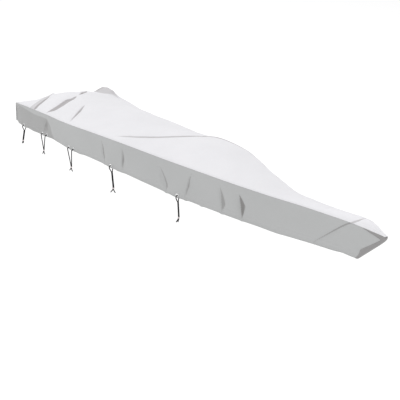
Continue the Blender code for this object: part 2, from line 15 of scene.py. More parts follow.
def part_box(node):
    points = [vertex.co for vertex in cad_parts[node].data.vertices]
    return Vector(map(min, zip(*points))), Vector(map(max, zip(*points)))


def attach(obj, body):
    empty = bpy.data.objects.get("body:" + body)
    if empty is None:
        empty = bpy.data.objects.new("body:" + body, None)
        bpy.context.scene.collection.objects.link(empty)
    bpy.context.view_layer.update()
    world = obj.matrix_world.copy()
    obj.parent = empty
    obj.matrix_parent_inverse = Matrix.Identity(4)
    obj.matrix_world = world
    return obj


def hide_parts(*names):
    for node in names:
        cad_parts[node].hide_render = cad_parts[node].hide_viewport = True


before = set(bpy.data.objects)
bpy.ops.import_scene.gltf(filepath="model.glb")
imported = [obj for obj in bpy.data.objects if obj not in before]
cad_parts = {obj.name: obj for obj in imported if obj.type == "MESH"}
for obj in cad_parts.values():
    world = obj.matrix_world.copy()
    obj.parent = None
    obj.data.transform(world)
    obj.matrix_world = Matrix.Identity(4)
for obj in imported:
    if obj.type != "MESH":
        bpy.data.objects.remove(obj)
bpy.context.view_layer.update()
scene = bpy.context.scene

# ---- sizes of the cover, metres, as in the CAD source ----
HALF_LENGTH = 2.90
CLOTH = 0.0025
SEAM_GAP = 0.0010
SKIN = SEAM_GAP + CLOTH  # the outer face of a skirt, outboard of the seam
SEAM_FLAP = 0.012
CORNER_GAP = 0.0011
PATCH_GAP = 0.0012
NOSE_BULGE = 0.010
NOSE_SKIRT_END = 0.004
NOSE_PULL = 0.022
NOSE_PULL_FADES = 0.07
STEM_FULL = 0.020
STEM_FULL_FROM = 0.10
STEM_BEGINS = 2.70
FLAP_FOLLOWS = 0.8
TRANSOM_RAKE = 0.004
TRANSOM_DIP = 0.030
EYELET_FLAT = 0.026
EYELET_HOLE = 0.0121
EYELET_BORE = 0.0098
EYELET_OUTER = 0.020
CORD = 0.012
CORD_BEND = 0.0245
CORD_SEAT = 0.0033
CORD_LEAD = 0.00415
CORD_CLOSES = radians(25)
SLIDER_WALL = 0.0035
SLIDER_HEIGHT = 0.015
SLIDER_STANDS_OFF = 0.004
SLIDER_CLEAR = 0.004  # straight cord above and below it
STRAND_SPACING = CORD + 0.0006
SHOWN_CLOTH = 0.0020  # thickness of the cloth that shows

SECTION_COLUMNS = ("x", "half_beam", "seam_z", "crown", "fullness", "drop", "rake", "tuck")
SECTIONS = (
    (-2.9, 0.845, -0.177, 0.075, 2.0, 0.275, -0.004, 0.025),
    (-2.755, 0.871, -0.168, 0.09, 2.1, 0.308, -0.002, 0.026),
    (-2.61, 0.886, -0.163, 0.165, 2.3, 0.319, 0.0, 0.027),
    (-2.32, 0.905, -0.158, 0.27, 2.6, 0.325, 0.0, 0.028),
    (-2.03, 0.915, -0.159, 0.31, 2.7, 0.323, 0.0, 0.028),
    (-1.74, 0.92, -0.162, 0.288, 2.2, 0.312, 0.0, 0.028),
    (-1.45, 0.917, -0.174, 0.262, 1.7, 0.315, 0.0, 0.028),
    (-1.16, 0.91, -0.177, 0.247, 1.5, 0.33, 0.0, 0.028),
    (-0.58, 0.87, -0.18, 0.23, 1.35, 0.342, 0.0, 0.03),
    (0.0, 0.795, -0.198, 0.2005, 1.35, 0.363, 0.002, 0.035),
    (0.29, 0.741, -0.214, 0.223, 1.5, 0.373, 0.008, 0.038),
    (0.58, 0.675, -0.233, 0.243, 1.8, 0.384, 0.016, 0.04),
    (0.87, 0.592, -0.253, 0.217, 2.0, 0.384, 0.03, 0.042),
    (1.16, 0.49, -0.28, 0.155, 2.0, 0.386, 0.049, 0.044),
    (1.45, 0.378, -0.306, 0.085, 1.9, 0.385, 0.073, 0.044),
    (1.74, 0.27, -0.326, 0.035, 1.8, 0.383, 0.102, 0.042),
    (2.03, 0.184, -0.334, 0.036, 1.8, 0.383, 0.136, 0.036),
    (2.32, 0.122, -0.342, 0.048, 1.8, 0.366, 0.158, 0.028),
    (2.61, 0.074, -0.352, 0.064, 1.9, 0.346, 0.194, 0.02),
    (2.755, 0.052, -0.366, 0.064, 2.0, 0.326, 0.216, 0.014),
    (2.87, 0.03, -0.377, 0.019, 2.0, 0.314, 0.233, 0.008),
    (2.9, 0.022, -0.381, 0.005, 2.0, 0.31, 0.236, 0.005),
)

# Broad folds of the top: from (x, y) to (x, y), how high and how wide.
TOP_FOLDS = (
    (-2.24, -0.9, -2.22, -0.56, 0.016, 0.11),
    (-1.8, -0.9, -1.85, -0.42, -0.017, 0.11),
    (-1.26, -0.88, -1.54, -0.46, -0.013, 0.1),
    (-0.32, -0.74, 0.42, -0.08, -0.013, 0.11),
    (-2.18, 0.14, -1.88, 0.28, 0.098, 0.19),
    (-1.6, 0.86, -1.78, 0.4, -0.015, 0.11),
    (-0.2, 0.74, 0.4, 0.12, -0.012, 0.11),
)

# Small folds of the sheet alone, in the same form, and the dip of the port seam: at x, how wide, how deep.
SHOWN_FOLDS = (
    (-2.24, -0.61, -2.54, -0.43, 0.022, 0.055),
    (-2.2, -0.16, -2.12, -0.02, 0.012, 0.07),
    (-2.06, 0.105, -2.18, 0.175, -0.01, 0.045),
    (-1.97, 0.186, -2.09, 0.254, 0.012, 0.05),
    (-2.02, 0.22, -1.6, 0.8, -0.036, 0.1),
    (-2.02, 0.5, -1.42, 0.6, -0.018, 0.13),
    (-2.0, 0.6, -1.3, 0.6, -0.013, 0.18),
    (0.33, 0.12, 1.0, 0.35, 0.014, 0.14),
    (1.1, 0.38, 1.5, 0.33, -0.02, 0.12),
    (2.55, 0.02, 2.74, 0.01, 0.006, 0.04),
)
PORT_DIPS = ((1.66, 0.36, 0.024),)

# Creases: the points of a line, each with the width of the shaded face there, or none where it ends in a
# point; the side of the line that the cloth stands up on, or 0; how deep it is; how much painted shade
# darkens its face.
# Points are x and y on the top, x and the part of the depth on a side, y and the part of the depth astern.
TOP_CREASES = (
    (((-2.235, -0.915, 0.11), (-2.245, -0.875, 0.17), (-2.236, -0.8, 0.16), (-2.258, -0.71, 0.14),
      (-2.32, -0.61, 0.14), (-2.4, -0.5, 0.08)), 0, 0.003, 0.23),
    (((-2.181, -0.915, 0.02), (-2.178, -0.897, 0.064), (-2.187, -0.855, 0.06), (-2.18, -0.8, 0.046),
      (-2.185, -0.745, 0.042), (-2.2, -0.69, 0.026), (-2.215, -0.66)), -1, 0.01, 0.5),
    (((-1.84, -0.905), (-1.825, -0.86, 0.035), (-1.797, -0.786, 0.09), (-1.8, -0.7, 0.09),
      (-1.83, -0.59, 0.075), (-1.835, -0.51, 0.045), (-1.853, -0.455, 0.03), (-1.87, -0.42)), 1, 0.013, 0.44),
    (((-1.26, -0.88), (-1.353, -0.763, 0.015), (-1.449, -0.62, 0.031), (-1.519, -0.531, 0.016),
      (-1.56, -0.47)), 1, 0.009, 0.49),
    (((-1.885, -0.38), (-1.938, -0.302, 0.032), (-2.007, -0.228, 0.045), (-2.1, -0.13, 0.035),
      (-2.16, -0.07)), 1, 0.008, 0.56),
    (((-0.362, -0.757), (-0.3, -0.7, 0.016), (-0.244, -0.637, 0.023), (-0.107, -0.514, 0.03),
      (0.036, -0.397, 0.036), (0.212, -0.236, 0.04), (0.304, -0.14, 0.042),
      (0.405, -0.03, 0.038)), 0, 0.007, 0.36),
    (((0.405, -0.03, 0.038), (0.425, 0.052, 0.036), (0.475, 0.1, 0.034), (0.605, 0.183, 0.034),
      (0.757, 0.242, 0.034), (0.915, 0.296, 0.032), (1.077, 0.352, 0.028), (1.18, 0.4, 0.022),
      (1.33, 0.4)), 0, 0.003, 0.42),
    (((2.534, -0.11, 0.013), (2.566, -0.082, 0.013), (2.616, -0.046, 0.012),
      (2.668, 0.014, 0.006)), 0, 0.002, 0.36),
    (((-1.62, 0.9), (-1.69, 0.78, 0.06), (-1.74, 0.64, 0.075), (-1.82, 0.4)), 1, 0.012, 0.38),
    (((-0.93, 0.86), (-1.03, 0.7, 0.028), (-1.06, 0.62, 0.034), (-1.12, 0.44)), 1, 0.01, 0.36),
    (((-0.24, 0.76), (0.0, 0.54, 0.034), (0.22, 0.32, 0.036), (0.4, 0.11)), 0, 0.008, 0.28),
    (((-2.46, 0.86), (-2.4, 0.74, 0.06), (-2.35, 0.6, 0.045), (-2.33, 0.42)), -1, 0.01, 0.3),
)
STARBOARD_CREASES = (
    (((-0.513, 0.19), (-0.491, 0.441, 0.012), (-0.48, 0.616, 0.014), (-0.461, 0.746, 0.009),
      (-0.45, 0.89)), -1, 0.005, 0.36),
    (((-0.145, 0.13), (-0.137, 0.37, 0.012), (-0.129, 0.571, 0.024), (-0.132, 0.782, 0.009),
      (-0.132, 0.92)), 1, 0.008, 0.3),
    (((0.44, 0.25), (0.494, 0.475, 0.016), (0.53, 0.63, 0.024), (0.556, 0.74, 0.03),
      (0.56, 0.91)), -1, 0.007, 0.28),
    (((0.858, 0.12), (0.839, 0.359, 0.009), (0.835, 0.55, 0.016), (0.821, 0.746, 0.01),
      (0.812, 0.93)), 1, 0.006, 0.29),
    (((1.194, 0.2), (1.23, 0.421, 0.02), (1.254, 0.585, 0.036), (1.271, 0.696, 0.046),
      (1.272, 0.92)), -1, 0.008, 0.235),
    (((1.415, 0.24), (1.448, 0.396, 0.028), (1.484, 0.553, 0.053), (1.497, 0.734, 0.032),
      (1.511, 0.91)), -1, 0.009, 0.46),
    (((-1.842, 0.225), (-1.828, 0.345, 0.036), (-1.832, 0.59, 0.114), (-1.874, 0.715, 0.052),
      (-1.914, 0.83)), 1, 0.01, 0.135),
    (((2.578, -0.06, 0.012), (2.533, 0.101, 0.014), (2.509, 0.217, 0.013), (2.462, 0.474, 0.01),
      (2.411, 0.728, 0.006), (2.372, 0.94, 0.002)), 0, 0.003, 0.46),
)
PORT_CREASES = (
    (((-1.7, 0.14), (-1.722, 0.48, 0.055), (-1.73, 0.65, 0.07), (-1.745, 0.9)), 1, 0.012, 0.22),
    (((-0.72, 0.18), (-0.7, 0.52, 0.016), (-0.69, 0.66, 0.018), (-0.68, 0.88)), -1, 0.008, 0.28),
    (((0.15, 0.16), (0.18, 0.48, 0.024), (0.2, 0.62, 0.032), (0.215, 0.9)), -1, 0.01, 0.26),
    (((1.0, 0.16), (0.982, 0.52, 0.02), (0.972, 0.66, 0.014), (0.958, 0.92)), 1, 0.008, 0.28),
    (((1.34, 0.22), (1.375, 0.5, 0.036), (1.392, 0.64, 0.044), (1.42, 0.92)), -1, 0.013, 0.38),
    (((2.53, -0.06, 0.012), (2.5, 0.1, 0.015), (2.44, 0.4, 0.011), (2.34, 0.94, 0.004)), 0, 0.003, 0.3),
)
TRANSOM_CREASES = (
    (((-0.64, 0.24), (-0.62, 0.56, 0.026), (-0.612, 0.7, 0.03), (-0.6, 0.93)), 1, 0.01, 0.24),
    (((-0.23, 0.12), (-0.25, 0.43, 0.014), (-0.246, 0.64, 0.018), (-0.262, 0.9)), -1, 0.008, 0.24),
    (((0.15, 0.3), (0.176, 0.56, 0.034), (0.19, 0.72, 0.046), (0.196, 0.95)), -1, 0.012, 0.3),
    (((0.56, 0.16), (0.54, 0.44, 0.012), (0.536, 0.62, 0.02), (0.52, 0.88)), 1, 0.009, 0.24),
)

# Upright pinches of a skirt, as in the CAD source: x, from and to part of the depth, depth, width, lean.
STARBOARD_PINCHES = (
    (-1.86, 0.22, 0.84, 0.014, 0.06, -0.06),
    (-0.47, 0.2, 0.9, 0.014, 0.05, 0.09),
    (-0.12, 0.14, 0.92, 0.014, 0.05, 0.02),
    (0.5, 0.28, 0.92, 0.018, 0.06, 0.18),
    (0.84, 0.14, 0.92, 0.014, 0.05, -0.06),
    (1.25, 0.2, 0.92, 0.02, 0.06, 0.12),
    (1.47, 0.24, 0.94, 0.024, 0.065, 0.13),
    (2.46, 0.1, 0.99, 0.008, 0.05, -0.17),
)
PORT_PINCHES = (
    (-1.7, 0.16, 0.9, 0.016, 0.06, -0.04),
    (-0.7, 0.18, 0.88, 0.014, 0.05, 0.06),
    (0.2, 0.16, 0.9, 0.016, 0.055, 0.05),
    (0.98, 0.2, 0.92, 0.016, 0.055, -0.06),
    (1.38, 0.2, 0.92, 0.02, 0.06, 0.1),
)
# Towards the stern the lower part of each side skirt lies further in.
TUCKED_IN, TUCKED_BELOW, TUCKED_AFT_OF, TUCKED_LEAN = 0.012, 0.2, -1.7, 0.2

# The aft end of each skirt is painted darker below this edge, as painted shade: x and part of the depth.
STERN_SHADE_EDGE = ((-2.9, 0.015), (-2.688, 0.079), (-2.463, 0.135), (-2.214, 0.227), (-1.929, 0.201),
                    (-1.824, 0.205), (-1.773, 0.297), (-1.69, 0.507), (-1.66, 0.75), (-1.586, 0.972),
                    (-1.5, 1.3))
STERN_SHADE = 0.19
# painted shade over the whole transom
TRANSOM_SHADE = 0.10

# Ties: number, x of its eyelets, how far down and forward the slider hangs, length and swing of both ends.
TIES = (
    ("1", (-2.57,), 0.24, 0.002, ((0.044, -30), (0.036, -10))),
    ("2", (-1.94, -1.812), 0.235, 0.008, ((0.052, -32), (0.054, 52))),
    ("3", (-1.2, -1.095), 0.25, 0.042, ((0.05, -36), (0.052, 52))),
    ("4", (-0.333,), 0.26, 0.094, ((0.062, -38), (0.056, 55))),
    ("5", (0.71,), 0.246, 0.066, ((0.054, -24), (0.048, -6))),
)
EYELETS = [at for _, places, *_ in TIES for at in places]
SIDES = (
    ("starboard", -1.0, STARBOARD_PINCHES, STARBOARD_CREASES),
    ("port", 1.0, PORT_PINCHES, PORT_CREASES),
)

# The stem patch's after edge, as part of the depth and reach aft of the stem, and the steps round its nose.
PATCH_ROWS = ((0.01, 0.245), (0.085, 0.115), (0.14, 0.038), (0.24, 0.047), (0.45, 0.064),
              (0.66, 0.083), (0.832, 0.046), (0.995, 0.03))
PATCH_GRID = (42, 15)  # rows, and columns aft of the nose on each side
PATCH_NOSE = (0.0, 0.006, 0.012, 0.018, 0.0235)
# The top's fore end laps over the stem patch: to the sides, ahead and down, beginning so far aft.
STEM_LAP = 0.0078
STEM_LAP_AHEAD = 0.0125
STEM_LAP_FALL = 0.003
STEM_LAP_FROM = 0.03

# ---- the shape of the cover ----
SECTION_X = np.array([row[0] for row in SECTIONS])


def cubic(s, start, end, rise, fall):
    """From start to end as s goes from 0 to 1, with the given slopes at the two."""
    return ((1 + 2 * s) * (1 - s) ** 2 * start + s * (1 - s) ** 2 * rise
            + s * s * (3 - 2 * s) * end + s * s * (s - 1) * fall)


def section(name, x):
    """A column of SECTIONS at x, as a smooth curve through its rows."""
    values = np.array([row[SECTION_COLUMNS.index(name)] for row in SECTIONS])
    rises = np.gradient(values, SECTION_X)
    x = np.clip(x, SECTION_X[0], SECTION_X[-1])
    i = np.clip(np.searchsorted(SECTION_X, x) - 1, 0, len(SECTION_X) - 2)
    step = SECTION_X[i + 1] - SECTION_X[i]
    return cubic((x - SECTION_X[i]) / step, values[i], values[i + 1], step * rises[i], step * rises[i + 1])


def soft_tent(u, fullness):
    """1 on the middle line, 0 at the sides, with a rounded ridge."""
    ridge = 0.14
    u = (np.sqrt(u * u + ridge * ridge) - ridge) / (sqrt(1 + ridge * ridge) - ridge)
    return 1 - np.clip(u, 0, 1) ** fullness


def unit(vector):
    return vector / np.linalg.norm(vector)


def hump(distance, width):
    """1 where the distance is 0, dying out at about the width."""
    return np.exp(-2 * (distance / width) ** 2)


def smooth(value):
    value = np.clip(value, 0.0, 1.0)
    return value * value * (3 - 2 * value)


def port_dip(x):
    return sum(depth * hump(x - at, width) for at, width, depth in PORT_DIPS)


FOLD_ENDS = 0.35  # part of a fold's length over which it rises at each end, and how high its ends are


def beside(x, y, x0, y0, x1, y1):
    """How far points lie along a line and to its left, and how long it is."""
    run = hypot(x1 - x0, y1 - y0)
    dx, dy = (x1 - x0) / run, (y1 - y0) / run
    return (x - x0) * dx + (y - y0) * dy, (y - y0) * dx - (x - x0) * dy, run


def fold_height(x, y):
    total = 0.0
    for *line, height, width in TOP_FOLDS + SHOWN_FOLDS:
        along, off, run = beside(x, y, *line)
        ends = smooth(np.minimum(along / run, 1 - along / run) / FOLD_ENDS + FOLD_ENDS)
        total = total + height * hump(off, width) * ends
    return total


def stem_offset(x, v):
    """How far forward of a straight stem the cover lies: back at the head of the stem, full below it."""
    near = smooth((x - STEM_BEGINS) / (HALF_LENGTH - STEM_BEGINS))
    full = STEM_FULL * (1 - v) * (1 - np.exp(-v / STEM_FULL_FROM))
    return near * (full - NOSE_PULL * np.exp(-v / NOSE_PULL_FADES))


def ripples(a, b, waves):
    """A few long sine waves in two directions: the slackness of hung cloth."""
    return sum(high * np.sin(a_close * a + b_close * b + start) for high, a_close, b_close, start in waves)


CREASE_EDGE = 0.007  # how softly the shaded face ends
CREASE_SLOPE = 0.012  # how far a crease's sides reach past its shaded face
CREASE_RIDGE = 0.018  # width of the ridge on the side that stands up
CREASE_RISE = 0.6  # height of that ridge, as part of the depth
CREASE_FULL = 1.6  # how soon along its line a crease reaches its full depth


def crease_fields(a, b, creases, scale):
    """Height and painted shade of a set of creases at points (a, b), b being `scale` metres for each unit."""
    height = shade = 0.0
    for line, side, depth, dark in creases:
        nearest, off, width = np.inf, 0.0, 0.0
        line = [(*point, 0.0)[:3] for point in line]
        for (a0, b0, width0), (a1, b1, width1) in zip(line, line[1:]):
            along, across, run = beside(a, b * scale, a0, b0 * scale, a1, b1 * scale)
            held = np.clip(along, 0, run)
            gap = np.hypot(along - held, across)
            closer = gap < nearest
            nearest = np.where(closer, gap, nearest)
            off = np.where(closer, np.copysign(gap, across), off)
            width = np.where(closer, width0 + (width1 - width0) * held / run, width)
        half = width / 2
        # painted shade: each crease's face is darkened by its `dark` value
        shade = np.maximum(shade, dark * smooth((half - np.abs(off)) / CREASE_EDGE + 0.5))
        widest = max(point[2] for point in line)
        sunk = hump(off, half + CREASE_SLOPE)
        stood = hump(off - side * (half + CREASE_SLOPE), CREASE_RIDGE) if side else 0.0
        height = height + smooth(width / widest * CREASE_FULL) * depth * (CREASE_RISE * stood - sunk)
    return height, shade


def new_object(name, verts, faces):
    mesh = bpy.data.meshes.new(name)
    mesh.from_pydata(verts, [], faces)
    mesh.update()
    mesh.shade_smooth()
    made = bpy.data.objects.new(name, mesh)
    scene.collection.objects.link(made)
    return made


def mend(made):
    """Deletes the points that no face uses, and turns the faces of each part the same way."""
    work = bmesh.new()
    work.from_mesh(made.data)
    bmesh.ops.delete(work, geom=[v for v in work.verts if not v.link_faces], context="VERTS")
    bmesh.ops.recalc_face_normals(work, faces=work.faces)
    work.to_mesh(made.data)
    work.free()
    return made


def grid_object(name, points, skipped=(), extra=None):
    """A mesh of quads through a grid of points, less the cells in `skipped`, which `extra` then fills."""
    rows, columns = points.shape[:2]
    verts = [tuple(p) for p in points.reshape(-1, 3)]
    corners = (r * columns + c for r in range(rows - 1) for c in range(columns - 1) if (r, c) not in skipped)
    faces = [(i, i + 1, i + columns + 1, i + columns) for i in corners]
    if extra:
        extra(verts, faces, columns)
    return new_object(name, verts, faces)


def ring_object(name, rings):
    """A closed body through rings of points, the last of which joins the first."""
    steps, n = len(rings), len(rings[0])
    faces = []
    for k in range(steps):
        here, there = k * n, (k + 1) % steps * n
        for i in range(n):
            j = (i + 1) % n
            faces.append((here + i, here + j, there + j, there + i))
    return mend(new_object(name, [tuple(p) for ring in rings for p in ring], faces))


def travelled(points, axis):
    """How far each point of a grid lies from its start, over the sheet and along that axis."""
    steps = np.linalg.norm(np.diff(points, axis=axis, prepend=points.take([0], axis)), axis=-1)
    return np.cumsum(steps, axis=axis)


def add_attributes(made, **layers):
    for name, values in layers.items():
        layer = made.data.attributes.new(name, "FLOAT", "POINT")
        layer.data.foreach_set("value", np.asarray(values, np.float32).ravel())


def face_out(made, towards):
    """Turns the faces to the side that `towards` points to."""
    if sum(p.normal.dot(Vector(towards)) * p.area for p in made.data.polygons) < 0:
        made.data.flip_normals()


def thicken(made):
    solid = made.modifiers.new("cloth", "SOLIDIFY")
    solid.thickness = SHOWN_CLOTH
    solid.offset = -1.0
    return made


# ---- the top ----
TOP_COLUMNS = ((-2.9, 0.014), (-2.5, 0.0085), (-1.2, 0.016), (-0.4, 0.012), (0.5, 0.014), (1.5, 0.018),
               (2.4, 0.007), (2.9, 0.0))  # from x, in steps of
TOP_ROWS = 160
EDGE_STEPS = (0.0, 0.003, 0.007, 0.011, 0.016, 0.026)
EDGE_MOST = 0.3  # the most of the half beam that those steps take
TOP_WAVES = ((0.002, 5.1, 3.3, 0.4), (0.0014, -7.7, 6.1, 1.9), (0.0009, 12.3, 4.2, 2.2),
             (0.0006, 17.0, -13.0, 0.8))
# Where the relief dies out: towards the sides, as part of the half beam, and the ends, where the top is
# narrow, and for the dip of the port seam towards the middle.
FOLDS_FADE, DETAIL_FADE, ENDS_FADE = 0.12, 0.1, 0.12
WAVES_FULL_FROM = 0.5
DIP_FROM = 0.3
NOSE_LENGTH = 0.05
FLAP_FALLS = (0.002, 0.008, SEAM_FLAP)
FLAP_EDGE = -0.01  # the attribute "edge" on the flaps, which have no stitching
# The near foot of the hump over the port quarter, behind which it is painted darker as painted shade, and
# that painted shade.
HUMP_FOOT = ((-2.3, 0.4), (-2.15, 0.16), (-2.089, 0.001), (-2.003, 0.026), (-1.924, 0.08), (-1.864, 0.146),
             (-1.838, 0.24))
HUMP_SHADE, HUMP_DARKER, HUMP_DARKER_AFT_OF = 0.275, 0.14, -2.03
HUMP_SOFT, HUMP_FOOT_SOFT, HUMP_AFT_SOFT = 0.05, 0.02, 0.1
HUMP_REACH = 0.37
HUMP_WIDENS = (-1.95, 0.9, 0.8)  # aft of x: reach and softness for each metre


def hump_shade(x, y):
    # painted shade on the hump behind its near foot, darker towards its aft end and fading to port
    foot_x, foot_y = zip(*HUMP_FOOT)
    aft_of, wider, softer = HUMP_WIDENS
    aft = np.maximum(aft_of - x, 0.0)
    behind = smooth((y - np.interp(x, foot_x, foot_y)) / HUMP_FOOT_SOFT + 0.5)
    inside = smooth((x - foot_x[0]) / HUMP_AFT_SOFT) * smooth((foot_x[-1] - x) / HUMP_SOFT)
    inside = inside * smooth((HUMP_REACH + wider * aft - y) / (HUMP_SOFT + softer * aft))
    return (HUMP_SHADE + HUMP_DARKER * smooth((HUMP_DARKER_AFT_OF - x) / HUMP_SOFT)) * behind * inside


def build_top():
    parts = [np.linspace(x0, x1, round((x1 - x0) / step) + 1)[:-1]
             for (x0, step), (x1, _) in zip(TOP_COLUMNS, TOP_COLUMNS[1:])]
    xs = np.hstack([*parts, HALF_LENGTH])
    half = section("half_beam", xs)
    inner = np.linspace(-1, 1, TOP_ROWS - 2 * len(EDGE_STEPS) + 1)
    steps = np.array(EDGE_STEPS)[:, None]
    edge_u = 1 - np.minimum(steps, steps / EDGE_STEPS[-1] * EDGE_MOST * half) / half
    u = np.vstack([-edge_u, inner[1:-1, None] * edge_u[-1], edge_u[::-1]])
    x = np.broadcast_to(xs, u.shape)
    y = u * half
    detail, shade = crease_fields(x, y, TOP_CREASES, 1.0)
    fade = smooth((1 - np.abs(u)) / DETAIL_FADE) * smooth((HALF_LENGTH - np.abs(x)) / ENDS_FADE)
    z = section("seam_z", x) + section("crown", x) * soft_tent(u, section("fullness", x))
    z = z + smooth((1 - np.abs(u)) / FOLDS_FADE) * fold_height(x, y)
    z = z - port_dip(x) * smooth((u - DIP_FROM) / (1 - DIP_FROM))
    z = z + fade * (detail + ripples(x, y, TOP_WAVES) * smooth(half / WAVES_FULL_FROM))
    nose = NOSE_BULGE * smooth((x - HALF_LENGTH + NOSE_LENGTH) / NOSE_LENGTH) * (1 - u * u)
    edge = (1 - np.abs(u)) * half
    lap = smooth((x - HALF_LENGTH + STEM_LAP_FROM) / STEM_LAP_FROM)
    x, y, z = x + STEM_LAP_AHEAD * lap, y + u * STEM_LAP * lap, z - STEM_LAP_FALL * lap
    points = np.stack([x + nose + stem_offset(xs, 0.0), y, z], axis=-1)

    def flap(row, sign):
        """The edge turned down inside a skirt."""
        turned = []
        for fall in FLAP_FALLS:
            part = fall / section("drop", xs)
            under = lap[0] * min(1.0, fall / STEM_LAP_FALL)
            aft = section("rake", xs) * part + FLAP_FOLLOWS * (stem_offset(xs, 0.0) - stem_offset(xs, part))
            inward = section("tuck", xs) * part + STEM_LAP * under
            lower = [aft + STEM_LAP_AHEAD * under, sign * inward, np.full_like(part, fall)]
            turned.append(row - np.stack(lower, axis=-1))
        return turned

    points = np.array([*flap(points[0], -1.0)[::-1], *points, *flap(points[-1], 1.0)])
    # the ends turned down at the stern and the stem
    down = np.array((0.0, 0.0, SEAM_FLAP))
    stern, stem = points[:, 0] - down, points[:, -1] - down
    folds = len(FLAP_FALLS)
    stem[:, 0] -= section("rake", HALF_LENGTH) * SEAM_FLAP / section("drop", HALF_LENGTH)
    stem[folds:-folds, 0] -= STEM_LAP_AHEAD
    stem[:, 1] *= half[-1] / (half[-1] + STEM_LAP)
    points = np.concatenate([stern[:, None], points, stem[:, None]], axis=1)
    shade = np.pad(np.pad(shade, ((folds, folds), (0, 0))), ((0, 0), (1, 1)), mode="edge")
    edge = np.pad(edge, ((folds, folds), (1, 1)), constant_values=FLAP_EDGE)
    made = grid_object("cover_top", points)
    face_out(made, (0, 0, 1))
    # the hump's painted shade joins the creases' painted shade
    shade = np.maximum(shade, hump_shade(points[..., 0], points[..., 1]))
    add_attributes(made, along=points[..., 0], across=travelled(points, 0), edge=edge, shade=shade)
    return made


# ---- the skirts ----
BLOCK = 4  # cells across the flat square round an eyelet
BLOCK_FROM = 0.832  # part of the depth where those squares begin
COLUMN_STEP = 0.0085
HEM_FOLD = 0.80  # part of the depth where the folded hem begins
HEM_FOLD_SOFT = 0.008
HEM_STANDS = 0.0007  # how far the folded hem stands out
SKIRT_ROWS = np.hstack([0.009, 0.016, 0.026, 0.04, 0.055, np.linspace(0.08, HEM_FOLD, 34), 0.808,
                        np.linspace(BLOCK_FROM, 1.0, BLOCK + 1)])
SKIRT_DEPTH = 0.35  # about how deep, for creases and waves
SKIRT_WAVES = ((0.0022, 4.3, 2.0, 0.3), (0.0014, 9.1, -3.0, 1.2), (0.0008, 16.0, 5.0, 2.6))
# The hem hangs lower at each tie, more widely where it has two eyelets, and in small lobes: at x, how wide,
# how deep.
HEM_LIFT, HEM_DROOP, HEM_DROOP_WIDTH, HEM_DROOP_SPREADS = 0.004, 0.012, 0.1, 0.4
HEM_NOTCHES = ((0.56, 0.03, 0.008), (0.83, 0.04, 0.008), (1.03, 0.03, 0.008), (1.28, 0.03, 0.006),
               (-0.13, 0.05, 0.007), (-0.45, 0.03, 0.004), (1.52, 0.03, 0.005), (-0.2, 0.06, 0.01),
               (-0.95, 0.09, 0.008), (1.93, 0.2, 0.007), (2.74, 0.1, -0.006), (-2.25, 0.16, 0.009),
               (-2.8, 0.09, 0.009))
# The cloth is flat near each eyelet, below this part of the depth, and just below the seam.
CALM_REACH, CALM_REACH_SOFT = 0.1, 0.06
CALM_BELOW, CALM_BELOW_SOFT = 0.55, 0.25
SEAM_CALM, SEAM_CALM_SOFT = 0.03, 0.15
TUCK_SOFT, TUCK_AFT_SOFT, SHADE_SOFT = 0.2, 0.16, 0.04
COLLARS = (EYELET_OUTER + 0.001, EYELET_HOLE + 0.003, EYELET_HOLE)  # rings of cloth round an eyelet's hole
COLLAR_ACROSS, COLLAR_EDGE = 0.3, 0.02  # their distance from the seam and from the hem


def hem_wave(x):
    droop = -HEM_LIFT
    for _, eyelets, *_ in TIES:
        width = HEM_DROOP_WIDTH + HEM_DROOP_SPREADS * (eyelets[-1] - eyelets[0])
        droop = droop + HEM_DROOP * np.exp(-((x - sum(eyelets) / len(eyelets)) / width) ** 2)
    return droop + sum(depth * hump(x - at, width) for at, width, depth in HEM_NOTCHES)


def calm(x, v):
    """1 away from the eyelets, 0 on the flat cloth round them."""
    total = 1.0
    for at in EYELETS:
        beside = smooth((CALM_REACH - np.abs(x - at)) / CALM_REACH_SOFT)
        total = total * (1 - beside * smooth((v - CALM_BELOW) / CALM_BELOW_SOFT))
    return total


def drawn_in(x, v, pinches):
    """How far inboard the pinches and the tuck towards the stern draw the cloth."""
    total = 0.0
    for at, start, end, depth, width, lean in pinches:
        middle = (start + end) / 2
        reach = np.clip((v - start) / (middle - start), 0, 1) * np.clip((end - v) / (end - middle), 0, 1)
        total = total + depth * hump(x - at - lean * (v - middle), width) * np.sqrt(reach)
    edge = TUCKED_AFT_OF + TUCKED_LEAN * (v - 0.5)
    tucked = smooth((v - TUCKED_BELOW) / TUCK_SOFT + 0.5) * smooth((edge - x) / TUCK_AFT_SOFT + 0.5)
    return total * calm(x, v) + TUCKED_IN * tucked


SLOPE_STEP = 0.02  # half of the length over which the seam's slope is taken


def side_points(x, v, side, outward, wave=True):
    """Points of a side skirt, v being the part of its depth below the seam."""
    fore, aft = x + SLOPE_STEP, x - SLOPE_STEP
    run = np.clip(fore, -HALF_LENGTH, HALF_LENGTH) - np.clip(aft, -HALF_LENGTH, HALF_LENGTH)
    slope = (section("half_beam", fore) - section("half_beam", aft)) / run
    size = np.sqrt(1 + slope * slope)
    depth = section("drop", x) + (hem_wave(x) * v ** 3 if wave else 0.0)
    px = x - section("rake", x) * v + stem_offset(x, v) - slope / size * outward
    py = section("half_beam", x) - section("tuck", x) * v + outward / size
    pz = section("seam_z", x) - depth * v - (port_dip(x) * (1 - v) if side > 0 else 0.0)
    return np.stack(np.broadcast_arrays(px, side * py, pz), axis=-1)


def eyelet_frame(x, side):
    """The outward, forward and downward directions of the cloth at an eyelet."""
    (aft_top, fore_top), (aft_low, fore_low) = (
        [side_points(x + dx, v, side, SKIN) for dx in (-EYELET_FLAT, EYELET_FLAT)] for v in (BLOCK_FROM, 1.0))
    forward = unit(fore_top + fore_low - aft_top - aft_low)
    normal = unit(np.cross(forward, aft_low + fore_low - aft_top - fore_top) * side)
    return normal, forward, unit(np.cross(normal, forward) * side)


def eyelet_centre(name):
    low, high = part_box(name)
    return np.array((low + high) / 2)


def eyelet_names(word, number, places):
    name = f"eyelet_{word}_{number}"
    return [name] if len(places) == 1 else [name + "a", name + "b"]


